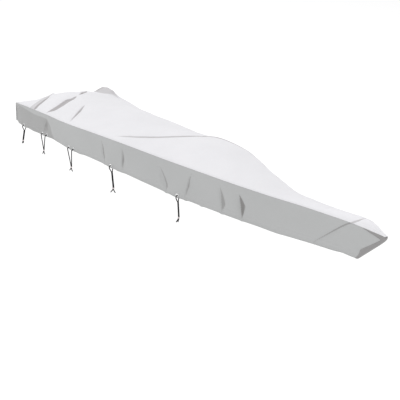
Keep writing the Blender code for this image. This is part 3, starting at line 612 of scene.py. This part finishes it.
def block_columns():
    """Columns of a skirt's grid: a block of cells round each eyelet, and even steps between them."""
    found, blocks, last = [], [], -HALF_LENGTH
    for at in EYELETS:
        start, end = at - EYELET_FLAT, at + EYELET_FLAT
        found += list(np.linspace(last, start, round((start - last) / COLUMN_STEP) + 1)[:-1])
        blocks.append(len(found))
        found += list(np.linspace(start, end, BLOCK + 1)[:-1])
        last = end
    stop = HALF_LENGTH - NOSE_SKIRT_END
    found += list(np.linspace(last, stop, round((stop - last) / COLUMN_STEP) + 1))
    return np.array(found), blocks


def block_border(row, column, columns):
    """Indices round the border of a block of cells, from its lower fore corner by way of the hem."""
    n = BLOCK
    steps = [(n, n - k) for k in range(n)] + [(n - k, 0) for k in range(n)]
    steps += [(0, k) for k in range(n)] + [(k, n) for k in range(n)]
    return [(row + r) * columns + column + c for r, c in steps]


def build_skirt(word, side, pinches, creases):
    xs, blocks = block_columns()
    x, v = np.broadcast_arrays(xs[None, :], SKIRT_ROWS[:, None])
    depth = section("drop", x)
    detail, shade = crease_fields(x, v, creases, SKIRT_DEPTH)
    settle = calm(x, v) * smooth((v - SEAM_CALM) / SEAM_CALM_SOFT)
    outward = SKIN - drawn_in(x, v, pinches) + settle * (detail + ripples(x, v * SKIRT_DEPTH, SKIRT_WAVES))
    outward = outward + HEM_STANDS * smooth((v - HEM_FOLD) / HEM_FOLD_SOFT)
    edge_x, edge_v = zip(*STERN_SHADE_EDGE)
    # painted shade on the aft end of the skirt, joined with the creases' painted shade
    shaded = STERN_SHADE * smooth((v - np.interp(x, edge_x, edge_v)) / SHADE_SOFT + 0.5)
    shade = 1 - (1 - shade) * (1 - shaded)
    top_row = len(SKIRT_ROWS) - 1 - BLOCK
    names = [name for number, places, *_ in TIES for name in eyelet_names(word, number, places)]
    skipped = {(top_row + r, column + c) for column in blocks for r in range(BLOCK) for c in range(BLOCK)}
    more = []

    def fill(verts, faces, columns):
        for at, column, name in zip(EYELETS, blocks, names):
            normal, forward, down = eyelet_frame(at, side)
            outer_face = eyelet_centre(name) + normal * (CLOTH / 2)
            previous = block_border(top_row, column, columns)
            count = len(previous)
            for radius in COLLARS:
                ring = range(len(verts), len(verts) + count)
                for k in range(count):
                    angle = pi / 4 + 2 * pi * k / count
                    spot = outer_face + radius * (forward * cos(angle) + down * sin(angle))
                    verts.append(tuple(spot))
                    more.append(at)
                    m = (k + 1) % count
                    faces.append((previous[k], previous[m], ring[m], ring[k]))
                previous = ring

    made = grid_object("skirt_" + word + "_cloth", side_points(x, v, side, outward), skipped, fill)
    spare = np.zeros(len(more))
    add_attributes(
        made, along=np.append(x, more), across=np.append(v * depth, spare + COLLAR_ACROSS),
        edge=np.append((1 - v) * depth, spare + COLLAR_EDGE), shade=np.append(shade, spare))
    mend(made)
    face_out(made, (0, side, 0))
    return thicken(made)


TRANSOM_COLUMNS = 241
TRANSOM_HEM = 0.86  # part of the depth where its folded hem begins
TRANSOM_ROWS = np.hstack([
    0.01, 0.03, 0.063, np.linspace(0.1, TRANSOM_HEM, 34), 0.868, np.linspace(0.89, 1, 5)])
# Its waves begin below the seam: height, how close, where they start, and for the fine ones how they lean.
TRANSOM_CALM, TRANSOM_WAVES_SOFT, TRANSOM_DETAIL_SOFT = 0.05, 0.2, 0.15
TRANSOM_BROAD = (0.01, 9.0, 0.6)
TRANSOM_FINE = (0.003, 23.0, 1.1, 2.0)
TRANSOM_FLARE = 0.003


def build_transom():
    end = -HALF_LENGTH
    half = float(section("half_beam", end)) + SKIN
    crown, fullness, seam, drop, tuck = (
        float(section(n, end)) for n in ("crown", "fullness", "seam_z", "drop", "tuck"))
    u, v = np.meshgrid(np.linspace(-1, 1, TRANSOM_COLUMNS), TRANSOM_ROWS)
    low = seam - drop - TRANSOM_DIP * (1 - u ** 6)
    high = seam + crown * soft_tent(u, fullness)
    height, close, start = TRANSOM_BROAD
    broad = height * np.sin(close * u + start) * v * smooth((v - TRANSOM_CALM) / TRANSOM_WAVES_SOFT)
    height, close, start, lean = TRANSOM_FINE
    fine = height * np.sin(close * u + start + lean * v) * v * v
    detail, shade = crease_fields(u * half, v, TRANSOM_CREASES, SKIRT_DEPTH)
    outward = (np.abs(broad) + fine) * (1 - u * u) + TRANSOM_FLARE * v
    outward = np.maximum(outward + detail * smooth((v - TRANSOM_CALM) / TRANSOM_DETAIL_SOFT), 0.0)
    outward = outward + HEM_STANDS * smooth((v - TRANSOM_HEM) / HEM_FOLD_SOFT)
    z = high - (high - low) * v
    x = end + TRANSOM_RAKE * (high - z) / drop - CORNER_GAP - CLOTH - outward
    made = grid_object("skirt_transom_cloth", np.stack([x, u * (half - tuck * v), z], axis=-1))
    face_out(made, (-1, 0, 0))
    # the transom's shade: its creases' painted shade and an even painted shade over all of it
    add_attributes(made, along=u * half, across=high - z, edge=z - low,
                   shade=1 - (1 - shade) * (1 - TRANSOM_SHADE))
    return thicken(made)


# A patch over the nose: the patch is a sewn piece, and its dark grey is painted shade where the cloth turns
# round the stem.
def build_patch():
    last = HALF_LENGTH
    tip, rake, tuck, seam, drop = (
        float(section(n, last)) for n in ("half_beam", "rake", "tuck", "seam_z", "drop"))
    lift = SKIN + PATCH_GAP + CLOTH
    rows_v, rows_reach = zip(*PATCH_ROWS)
    rows = []
    for v in np.linspace(rows_v[0], rows_v[-1], PATCH_GRID[0]):
        reach = float(np.interp(v, rows_v, rows_reach))
        away = list(PATCH_NOSE) + list(np.linspace(PATCH_NOSE[-1], reach, PATCH_GRID[1])[1:])
        row = []
        for side, distances in ((-1.0, away[:0:-1]), (1.0, away)):
            for distance in distances:
                if distance >= tip:
                    row.append(side_points(last - (distance - tip), v, side, lift, wave=False))
                    continue
                u = distance / tip
                ahead = NOSE_BULGE * (1 - u * u) + lift - rake * v + float(stem_offset(last, v))
                row.append((last + ahead, side * u * (tip + lift - tuck * v), seam - drop * v))
        rows.append(row)
    points = np.array(rows)
    made = grid_object("stem_patch_cloth", points)
    face_out(made, (1, 0, 0))
    across = travelled(points, 1)
    add_attributes(made, along=points[..., 2], across=across,
                   edge=np.minimum(across, across[:, -1:] - across), shade=0 * across)
    return thicken(made)


# ---- eyelets, ties and sliders ----
RING_STEPS = 40


def lathe(name, profile, centre, axes):
    """A closed profile of (radius, height) turned about the last of the axes."""
    rings = []
    for k in range(RING_STEPS):
        angle = 2 * pi * k / RING_STEPS
        spoke = axes[0] * cos(angle) + axes[1] * sin(angle)
        rings.append([centre + spoke * radius + axes[2] * height for radius, height in profile])
    return ring_object(name, rings)


def eyelet_profile():
    """Half of a rolled two-flanged eyelet's section, the outer face proud of the cloth."""
    face = CLOTH / 2 + 0.0002  # the cloth's outer face, from its middle
    back = CLOTH / 2 - SHOWN_CLOTH - 0.0002
    bore, rim = EYELET_BORE, EYELET_OUTER
    return [
        (bore + 0.0006, back), (bore, 0.0), (bore + 0.0004, face), (bore + 0.0016, face + 0.0016),
        (bore + 0.0036, face + 0.0023), (bore + 0.0064, face + 0.002), (rim - 0.0012, face + 0.0012),
        (rim, face + 0.0003), (rim - 0.0004, face), (bore + 0.0024, face), (bore + 0.0018, back),
        (rim - 0.002, back), (rim - 0.0016, back - 0.0004), (rim - 0.003, back - 0.0012),
        (bore + 0.003, back - 0.0016), (bore + 0.0012, back - 0.001)]


QUARTER = [pi / 2 * i / 5 for i in range(6)]


def arc(centre, start, end, angles=QUARTER):
    """Points on a bend of the cord, at these angles from `start` towards `end`."""
    return [centre + CORD_BEND * (start * cos(a) + end * sin(a)) for a in angles]


def tail_points(start, down, forward, length, degrees):
    """A free end that hangs down from `start` and curves towards `forward`, or aft. Its end comes last."""
    swing = radians(abs(degrees))
    aside = forward if degrees > 0 else -forward
    made = [start, *arc(start + CORD_BEND * aside, -aside, down, (swing / 3, swing * 2 / 3, swing))]
    rest = max(length - CORD_BEND * swing, CORD) * (aside * sin(swing) + down * cos(swing))
    return made + [made[3] + rest / 2, made[3] + rest]


def closing_points(front, side_way, hang_way):
    """One strand of a loop, from its widest point to where it runs beside the other."""
    turn, bend = CORD_CLOSES, CORD_BEND
    lead = CORD_LEAD + bend * (2 * cos(turn) - 1) - STRAND_SPACING / 2
    made = arc(front + hang_way * bend, side_way, hang_way, (turn / 2, turn))
    inner = made[-1] - side_way * lead + hang_way * lead / tan(turn)
    centre = inner + bend * (side_way * cos(turn) + hang_way * sin(turn))
    return made + [(made[-1] + inner) / 2, inner, *arc(centre, -side_way, -hang_way, (turn / 2, 0.0))]


def tie_line(frames, hang, lean, tails):
    """The middle line of a tie, as in the CAD source, where its slider is, and which way its strands part."""
    bend = CORD_BEND
    middle, normal, forward = ((first + last) / 2 for first, last in zip(frames[0], frames[-1]))
    down = np.array([0.0, 0.0, -1.0])
    slider = middle + down * hang + forward * lean + normal * SLIDER_STANDS_OFF
    pair = len(frames) == 2
    apart = forward if pair else normal
    half = SLIDER_HEIGHT / 2 + SLIDER_CLEAR
    strands = []
    for way, (length, degrees) in zip((-1, 1) if pair else (1, -1), tails):
        gate = slider + way * apart * STRAND_SPACING / 2
        tail = tail_points(gate + down * half, down, forward, length, degrees)
        strands.append(tail[::-1] + [gate, gate - down * half])
    points = strands[0]
    for index, (centre, out, ahead) in enumerate(frames):
        hang_way = unit(slider - centre - out * float((slider - centre) @ out))
        seat = centre + hang_way * CORD_SEAT
        front, back = seat + out * CORD_LEAD, seat - out * CORD_LEAD
        outer = arc(front + hang_way * bend, out, -hang_way)
        if not pair:
            points += closing_points(front, out, hang_way)[::-1] + outer
            points += arc(back + hang_way * bend, -hang_way, -out) + closing_points(back, -out, hang_way)
            break
        sideways = ahead if index == 0 else -ahead
        inner = arc(back + sideways * bend, -sideways, -out)
        points += outer + inner if index == 0 else inner[::-1] + outer[::-1]
    return np.array(points + strands[1][::-1]), slider, apart


def rounded_line(points, step):
    """A smooth line through the points, evenly spaced, and its length."""
    line = [points[0]]
    ends = [2 * points[0] - points[1], *points, 2 * points[-1] - points[-2]]
    for p0, p1, p2, p3 in zip(ends, ends[1:], ends[2:], ends[3:]):
        before, gap, after = (np.linalg.norm(q - p) for p, q in ((p0, p1), (p1, p2), (p2, p3)))
        rise, fall = (p2 - p0) * gap / (gap + before), (p3 - p1) * gap / (gap + after)
        line += [cubic(s, p1, p2, rise, fall) for s in np.linspace(0, 1, 13)[1:]]
    line = np.array(line)
    run = np.append(0, np.cumsum(np.linalg.norm(np.diff(line, axis=0), axis=1)))
    at = np.linspace(0, run[-1], max(8, round(run[-1] / step)) + 1)
    return np.stack([np.interp(at, run, line[:, k]) for k in range(3)], axis=1), run[-1]


CORD_SIDES = 18
CORD_STEP = 0.004
CORD_TIP, CORD_SWELLS = 0.72, 0.006  # part of its thickness at the sealed ends, and where it is full


def build_cord(name, points):
    """A round cord along the line with heat-sealed ends. Its UV map goes round it, and along it in metres."""
    line, length = rounded_line(points, CORD_STEP)
    tangents = np.gradient(line, axis=0)
    tangents /= np.linalg.norm(tangents, axis=1)[:, None]
    normal = np.cross(tangents[0], (0.3, 0.5, 0.8))
    verts, faces, uvs = [], [], []
    run = np.linspace(0, length, len(line))
    for point, tangent, at in zip(line, tangents, run):
        normal = unit(normal - tangent * float(normal @ tangent))
        side = np.cross(tangent, normal)
        swell = min(1.0, min(at, length - at) / CORD_SWELLS) ** 0.5
        radius = CORD / 2 * (CORD_TIP + (1 - CORD_TIP) * swell)
        for k in range(CORD_SIDES):
            angle = 2 * pi * k / CORD_SIDES
            verts.append(tuple(point + radius * (normal * cos(angle) + side * sin(angle))))
    for i, (at, after) in enumerate(zip(run, run[1:])):
        for k in range(CORD_SIDES):
            a, b, m = i * CORD_SIDES, (i + 1) * CORD_SIDES, (k + 1) % CORD_SIDES
            left, right = k / CORD_SIDES, (k + 1) / CORD_SIDES
            faces.append((a + k, a + m, b + m, b + k))
            uvs += [(left, at), (right, at), (right, after), (left, after)]
    for start, order in ((0, -1), ((len(line) - 1) * CORD_SIDES, 1)):
        faces.append(tuple(start + k for k in range(CORD_SIDES))[::order])
        uvs += [(0.5, -1.0)] * CORD_SIDES
    made = new_object(name, verts, faces)
    layer = made.data.uv_layers.new(name="cord")
    layer.data.foreach_set("uv", np.array(uvs, np.float32).ravel())
    return mend(made), line, length


SLIDER_STEPS = 40
SLIDER_HOLE = CORD / 2 + 0.0003
SLIDER_ROUND = 0.00132  # radius of its edges
SLIDER_INSET = 0.0022  # how far in from its outer faces its outer edges turn


def build_slider(name, centre, apart):
    """A rounded block with one long hole that both strands run through."""
    outer, top = SLIDER_HOLE + SLIDER_WALL, SLIDER_HEIGHT / 2
    size, inset = SLIDER_ROUND, SLIDER_INSET
    profile = []
    for radius, height, turn in (
            (SLIDER_HOLE + size, size - top, 180), (outer - inset, inset - top, 270),
            (outer - inset, top - inset, 0), (SLIDER_HOLE + size, top - size, 90)):
        for angle in (radians(turn + 90 * k / 3) for k in range(4)):
            profile.append((radius + size * cos(angle), height + size * sin(angle)))
    up = np.array([0.0, 0.0, 1.0])
    across = unit(apart - up * float(apart @ up))
    beside = np.cross(up, across)
    rings = []
    for k in range(SLIDER_STEPS):
        angle = 2 * pi * (k + 0.5) / SLIDER_STEPS
        shift = copysign(STRAND_SPACING / 2, cos(angle))
        rings.append([centre + across * (shift + radius * cos(angle)) + beside * radius * sin(angle)
                      + up * height for radius, height in profile])
    return ring_object(name, rings)


# ---- materials ----
class Nodes:
    """Short names for making and linking the nodes of one material."""

    def __init__(self, name):
        self.material = bpy.data.materials.new(name)
        self.material.use_nodes = True
        self.tree = self.material.node_tree
        self.shader = self.tree.nodes["Principled BSDF"]

    def add(self, kind, **settings):
        node = self.tree.nodes.new("ShaderNode" + kind)
        for key, value in settings.items():
            setattr(node, key, value)
        return node

    def join(self, values, sockets):
        """Sets or links each socket."""
        for value, socket in zip(values, sockets):
            if isinstance(value, bpy.types.NodeSocket):
                self.tree.links.new(value, socket)
            else:
                socket.default_value = value

    def surface(self, sockets):
        self.join(sockets.values(), [self.shader.inputs[name] for name in sockets])
        return self.material

    def math(self, operation, *values, clamp=False):
        node = self.add("Math", operation=operation, use_clamp=clamp)
        self.join(values, node.inputs)
        return node.outputs[0]

    def vectors(self, operation, *values):
        node = self.add("VectorMath", operation=operation)
        self.join(values, node.inputs)
        return node.outputs[0]

    def mix(self, part, a, b):
        node = self.add("Mix", data_type="RGBA")
        self.join((part, a, b), (node.inputs[0], node.inputs[6], node.inputs[7]))
        return node.outputs[2]

    def attribute(self, name):
        return self.add("Attribute", attribute_name=name).outputs["Fac"]

    def noise(self, scale, detail):
        node = self.add("TexNoise")
        place = self.add("TexCoord").outputs["Object"]
        self.join((place, scale, detail), [node.inputs[name] for name in ("Vector", "Scale", "Detail")])
        return node.outputs["Fac"]

    def spread(self, value, low, high):
        """Value 0 to 1 as low to high."""
        return self.math("MULTIPLY_ADD", value, high - low, low)

    def near(self, value, centre, width):
        """1 at the centre, 0 a width away."""
        off = self.math("ABSOLUTE", self.math("SUBTRACT", value, centre))
        return self.math("SUBTRACT", 1.0, self.math("DIVIDE", off, width), clamp=True)

    def bump(self, height, distance, strength=1.0, under=None):
        node = self.add("Bump")
        values = (strength, distance, height) + (() if under is None else (under,))
        self.join(values, [node.inputs[name] for name in ("Strength", "Distance", "Height", "Normal")])
        return node.outputs["Normal"]


WEAVE = 0.0016  # pitch of the yarns
STITCH = 0.0055
STITCH_PART = 0.72  # part of that length that is thread
STITCH_WIDTH = 0.0009
GROOVE_WIDTH = 0.005
SOIL_REACH = 0.05
# SHADE_TINT tints the painted shade
SHADE_TINT = (0.955, 1.0, 1.015)  # a crease keeps a little more red than blue
BRAID_TURNS = 8
BRAID_PITCH = 0.0045


def cloth_material(name, colour, thread, seams, roughness, soil):
    """Coated woven polyester: yarns, rows of stitching at the given distances from the panel's edge, a
    little unevenness of colour and painted shade, as on the faces of its creases."""
    n = Nodes(name)
    along, across, edge, shade = (n.attribute(layer) for layer in ("along", "across", "edge", "shade"))
    turns = 2 * pi / WEAVE
    warp, weft = (n.math("SINE", n.math("MULTIPLY", way, turns)) for way in (along, across))
    blotch, fine = n.noise(2.3, 5.0), n.noise(38.0, 4.0)
    tone = n.math("ADD", n.spread(blotch, -0.05, 0.05), n.spread(fine, -0.02, 0.02))
    dirt = n.math("MULTIPLY", n.near(edge, 0.0, SOIL_REACH), n.spread(n.noise(9.0, 6.0), 0.0, soil))
    even = n.vectors("MULTIPLY", colour, n.math("SUBTRACT", n.math("ADD", 1.0, tone), dirt))
    # painted shade: the colour darkened by the attribute shade, a little warm
    left = n.vectors("MULTIPLY_ADD", shade, [-part for part in SHADE_TINT], (1.0, 1.0, 1.0))
    dashes = n.math("LESS_THAN", n.math("FRACT", n.math("DIVIDE", along, STITCH)), STITCH_PART)
    rows = [n.math("MULTIPLY", n.near(edge, at, STITCH_WIDTH), dashes) for at in seams]
    stitches = n.math("MAXIMUM", *rows)
    groove = n.math("MAXIMUM", *(n.near(edge, at, GROOVE_WIDTH) for at in seams))
    relief = n.bump(stitches, 0.0006, under=n.bump(groove, -0.0008))
    relief = n.bump(n.math("MULTIPLY", warp, weft), 0.00006, under=n.bump(fine, 0.0006, 0.5, under=relief))
    with_painted_shade = n.vectors("MULTIPLY", even, left)
    return n.surface({
        "Base Color": n.mix(n.math("MULTIPLY", stitches, 0.8), with_painted_shade, (*thread, 1.0)),
        "Roughness": n.spread(fine, roughness - 0.06, roughness + 0.06),
        "Sheen Weight": 0.12, "Sheen Roughness": 0.5, "Specular IOR Level": 0.30, "Normal": relief})


def metal_material():
    n = Nodes("nickel-plated brass")
    wear, spots = n.noise(160.0, 5.0), n.noise(55.0, 3.0)
    colour = n.mix(n.math("MULTIPLY", spots, 0.35), (0.90, 0.90, 0.91, 1), (0.78, 0.78, 0.79, 1))
    return n.surface({"Base Color": colour, "Roughness": n.spread(wear, 0.22, 0.42), "Metallic": 0.85,
                      "Normal": n.bump(wear, 0.0001, 0.6)})


def braid_material():
    n = Nodes("black braided polyester")
    split = n.add("SeparateXYZ")
    n.join([n.add("UVMap", uv_map="cord").outputs[0]], split.inputs)
    round_it = n.math("MULTIPLY", split.outputs["X"], BRAID_TURNS * 2 * pi)
    along = n.math("MULTIPLY", split.outputs["Y"], 2 * pi / BRAID_PITCH)
    braid = n.math("MULTIPLY", *(n.math("SINE", n.math(way, round_it, along)) for way in ("ADD", "SUBTRACT")))
    fluff = n.noise(220.0, 4.0)
    tone = n.math("ADD", n.spread(braid, 0.35, 0.65), n.spread(fluff, -0.2, 0.2))
    return n.surface({"Base Color": n.mix(tone, (0.004, 0.0035, 0.004, 1), (0.018, 0.016, 0.018, 1)),
                      "Roughness": n.spread(fluff, 0.65, 0.9), "Specular IOR Level": 0.12,
                      "Normal": n.bump(braid, 0.0006, 0.9)})


def plastic_material():
    n = Nodes("off-white plastic")
    grain = n.noise(140.0, 4.0)
    return n.surface({"Base Color": n.mix(grain, (0.80, 0.72, 0.72, 1), (0.70, 0.62, 0.62, 1)),
                      "Roughness": n.spread(grain, 0.35, 0.55), "Normal": n.bump(grain, 0.0001, 0.5)})


def floor_material():
    """A white table lit from inside, so that hardly any shadow shows on it."""
    n = Nodes("lit white floor")
    colour = n.mix(n.noise(1.7, 5.0), (0.16, 0.16, 0.16, 1), (0.12, 0.12, 0.12, 1))
    return n.surface({"Base Color": colour, "Roughness": 0.9, "Specular IOR Level": 0.1,
                      "Emission Color": (1.0, 1.0, 1.0, 1.0), "Emission Strength": FLOOR_LIGHT})


# ---- camera, light and floor ----
CAMERA = (4.621, -4.427, 0.952)
CAMERA_TURNS = ((43.0, "Z"), (74.0, "X"), (9.0, "Z"))  # degrees: left of +Y, up from straight down, over
SENSOR, LENS = 36.0, 45.0  # millimetres


def make_camera():
    data = bpy.data.cameras.new("camera")
    data.sensor_width, data.lens = SENSOR, LENS
    data.clip_start, data.clip_end = 0.05, 200.0
    camera = bpy.data.objects.new("camera", data)
    scene.collection.objects.link(camera)
    yaw, tilt, roll = (Matrix.Rotation(radians(angle), 4, axis) for angle, axis in CAMERA_TURNS)
    camera.matrix_world = Matrix.Translation(CAMERA) @ yaw @ tilt @ roll
    scene.camera = camera


HORIZON_LIGHT = 1.06
SKY_LIGHT = 0.74
SKY_BEGINS = 0.45  # how steeply up, as a sine, the sky has darkened
SUN_LIGHT = 0.95
SUN_ANGLE = 60.0
SUN_FROM = (-0.25, -0.20, 1.0)
FLOOR = -1.35
FLOOR_RADIUS = 45.0
FLOOR_LIGHT = 0.93


def make_stage():
    bpy.ops.mesh.primitive_circle_add(
        vertices=96, radius=FLOOR_RADIUS, fill_type="NGON", location=(0, 0, FLOOR))
    floor = bpy.context.object
    floor.name = "floor"
    floor.data.materials.append(floor_material())
    world = bpy.data.worlds.new("pale room")
    scene.world = world
    world.use_nodes = True
    tree = world.node_tree
    split = tree.nodes.new("ShaderNodeSeparateXYZ")
    tree.links.new(tree.nodes.new("ShaderNodeTexCoord").outputs["Generated"], split.inputs[0])
    fall = tree.nodes.new("ShaderNodeMapRange")
    fall.interpolation_type = "SMOOTHSTEP"
    for name, value in (("From Max", SKY_BEGINS), ("To Min", HORIZON_LIGHT), ("To Max", SKY_LIGHT)):
        fall.inputs[name].default_value = value
    tree.links.new(split.outputs["Z"], fall.inputs["Value"])
    tree.links.new(fall.outputs[0], tree.nodes["Background"].inputs["Strength"])
    tree.nodes["Background"].inputs["Color"].default_value = (1.0, 1.0, 1.0, 1.0)
    data = bpy.data.lights.new("soft sun", "SUN")
    data.energy, data.angle = SUN_LIGHT, radians(SUN_ANGLE)
    sun = bpy.data.objects.new("soft sun", data)
    sun.rotation_euler = Vector(SUN_FROM).to_track_quat("Z", "Y").to_euler()
    scene.collection.objects.link(sun)
    scene.view_settings.view_transform = "Standard"
    scene.view_settings.look = "None"


# ---- put together ----
def finish_piece(made, material, slot, *nodes):
    made.data.materials.clear()
    made.data.materials.append(material)
    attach(made, "root")
    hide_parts(*nodes)


make_camera()
make_stage()

top_cloth = cloth_material(
    "pale grey coated cloth", (0.80, 0.795, 0.82), (0.70, 0.70, 0.72), (0.007, 0.016), 0.72, 0.035)
side_cloth = cloth_material(
    "mid grey coated cloth", (0.455, 0.461, 0.462), (0.60, 0.60, 0.60), (0.0045, 0.058), 0.76, 0.10)
# the stem patch's dark grey is painted shade of the cloth turning round the stem, on a real sewn patch
patch_cloth = cloth_material(
    "grey coated cloth painted dark as stem shade", (0.2985, 0.2915, 0.2915), (0.50, 0.50, 0.50), (0.005, 0.010), 0.78, 0.06)
metal, braid, plastic = metal_material(), braid_material(), plastic_material()

top = build_top()
finish_piece(top, top_cloth, "top_cloth", "top_panel")

for word, side, pinches, creases in SIDES:
    skirt = build_skirt(word, side, pinches, creases)
    finish_piece(skirt, side_cloth, "side_cloth", "skirt_" + word)

transom = build_transom()
finish_piece(transom, side_cloth, "side_cloth", "skirt_transom")

patch = build_patch()
finish_piece(patch, patch_cloth, "patch_cloth", "stem_patch")

for word, side, _, _ in SIDES:
    for number, places, hang, lean, tails in TIES:
        frames = []
        for node, at in zip(eyelet_names(word, number, places), places):
            centre = eyelet_centre(node)
            normal, forward, down = eyelet_frame(at, side)
            frames.append((centre, normal, forward))
            axes = (forward, np.cross(normal, forward), normal)
            ring = lathe(node + "_ring", eyelet_profile(), centre, axes)
            finish_piece(ring, metal, "eyelet_metal", node)
        points, place, apart = tie_line(frames, hang, lean, tails)
        cord, line, length = build_cord(f"cord_{word}_{number}", points)
        finish_piece(cord, braid, "tie_braid", f"tie_{word}_{number}")
        slider = build_slider(f"bead_{word}_{number}", place, apart)
        finish_piece(slider, plastic, "slider_plastic", f"slider_{word}_{number}")
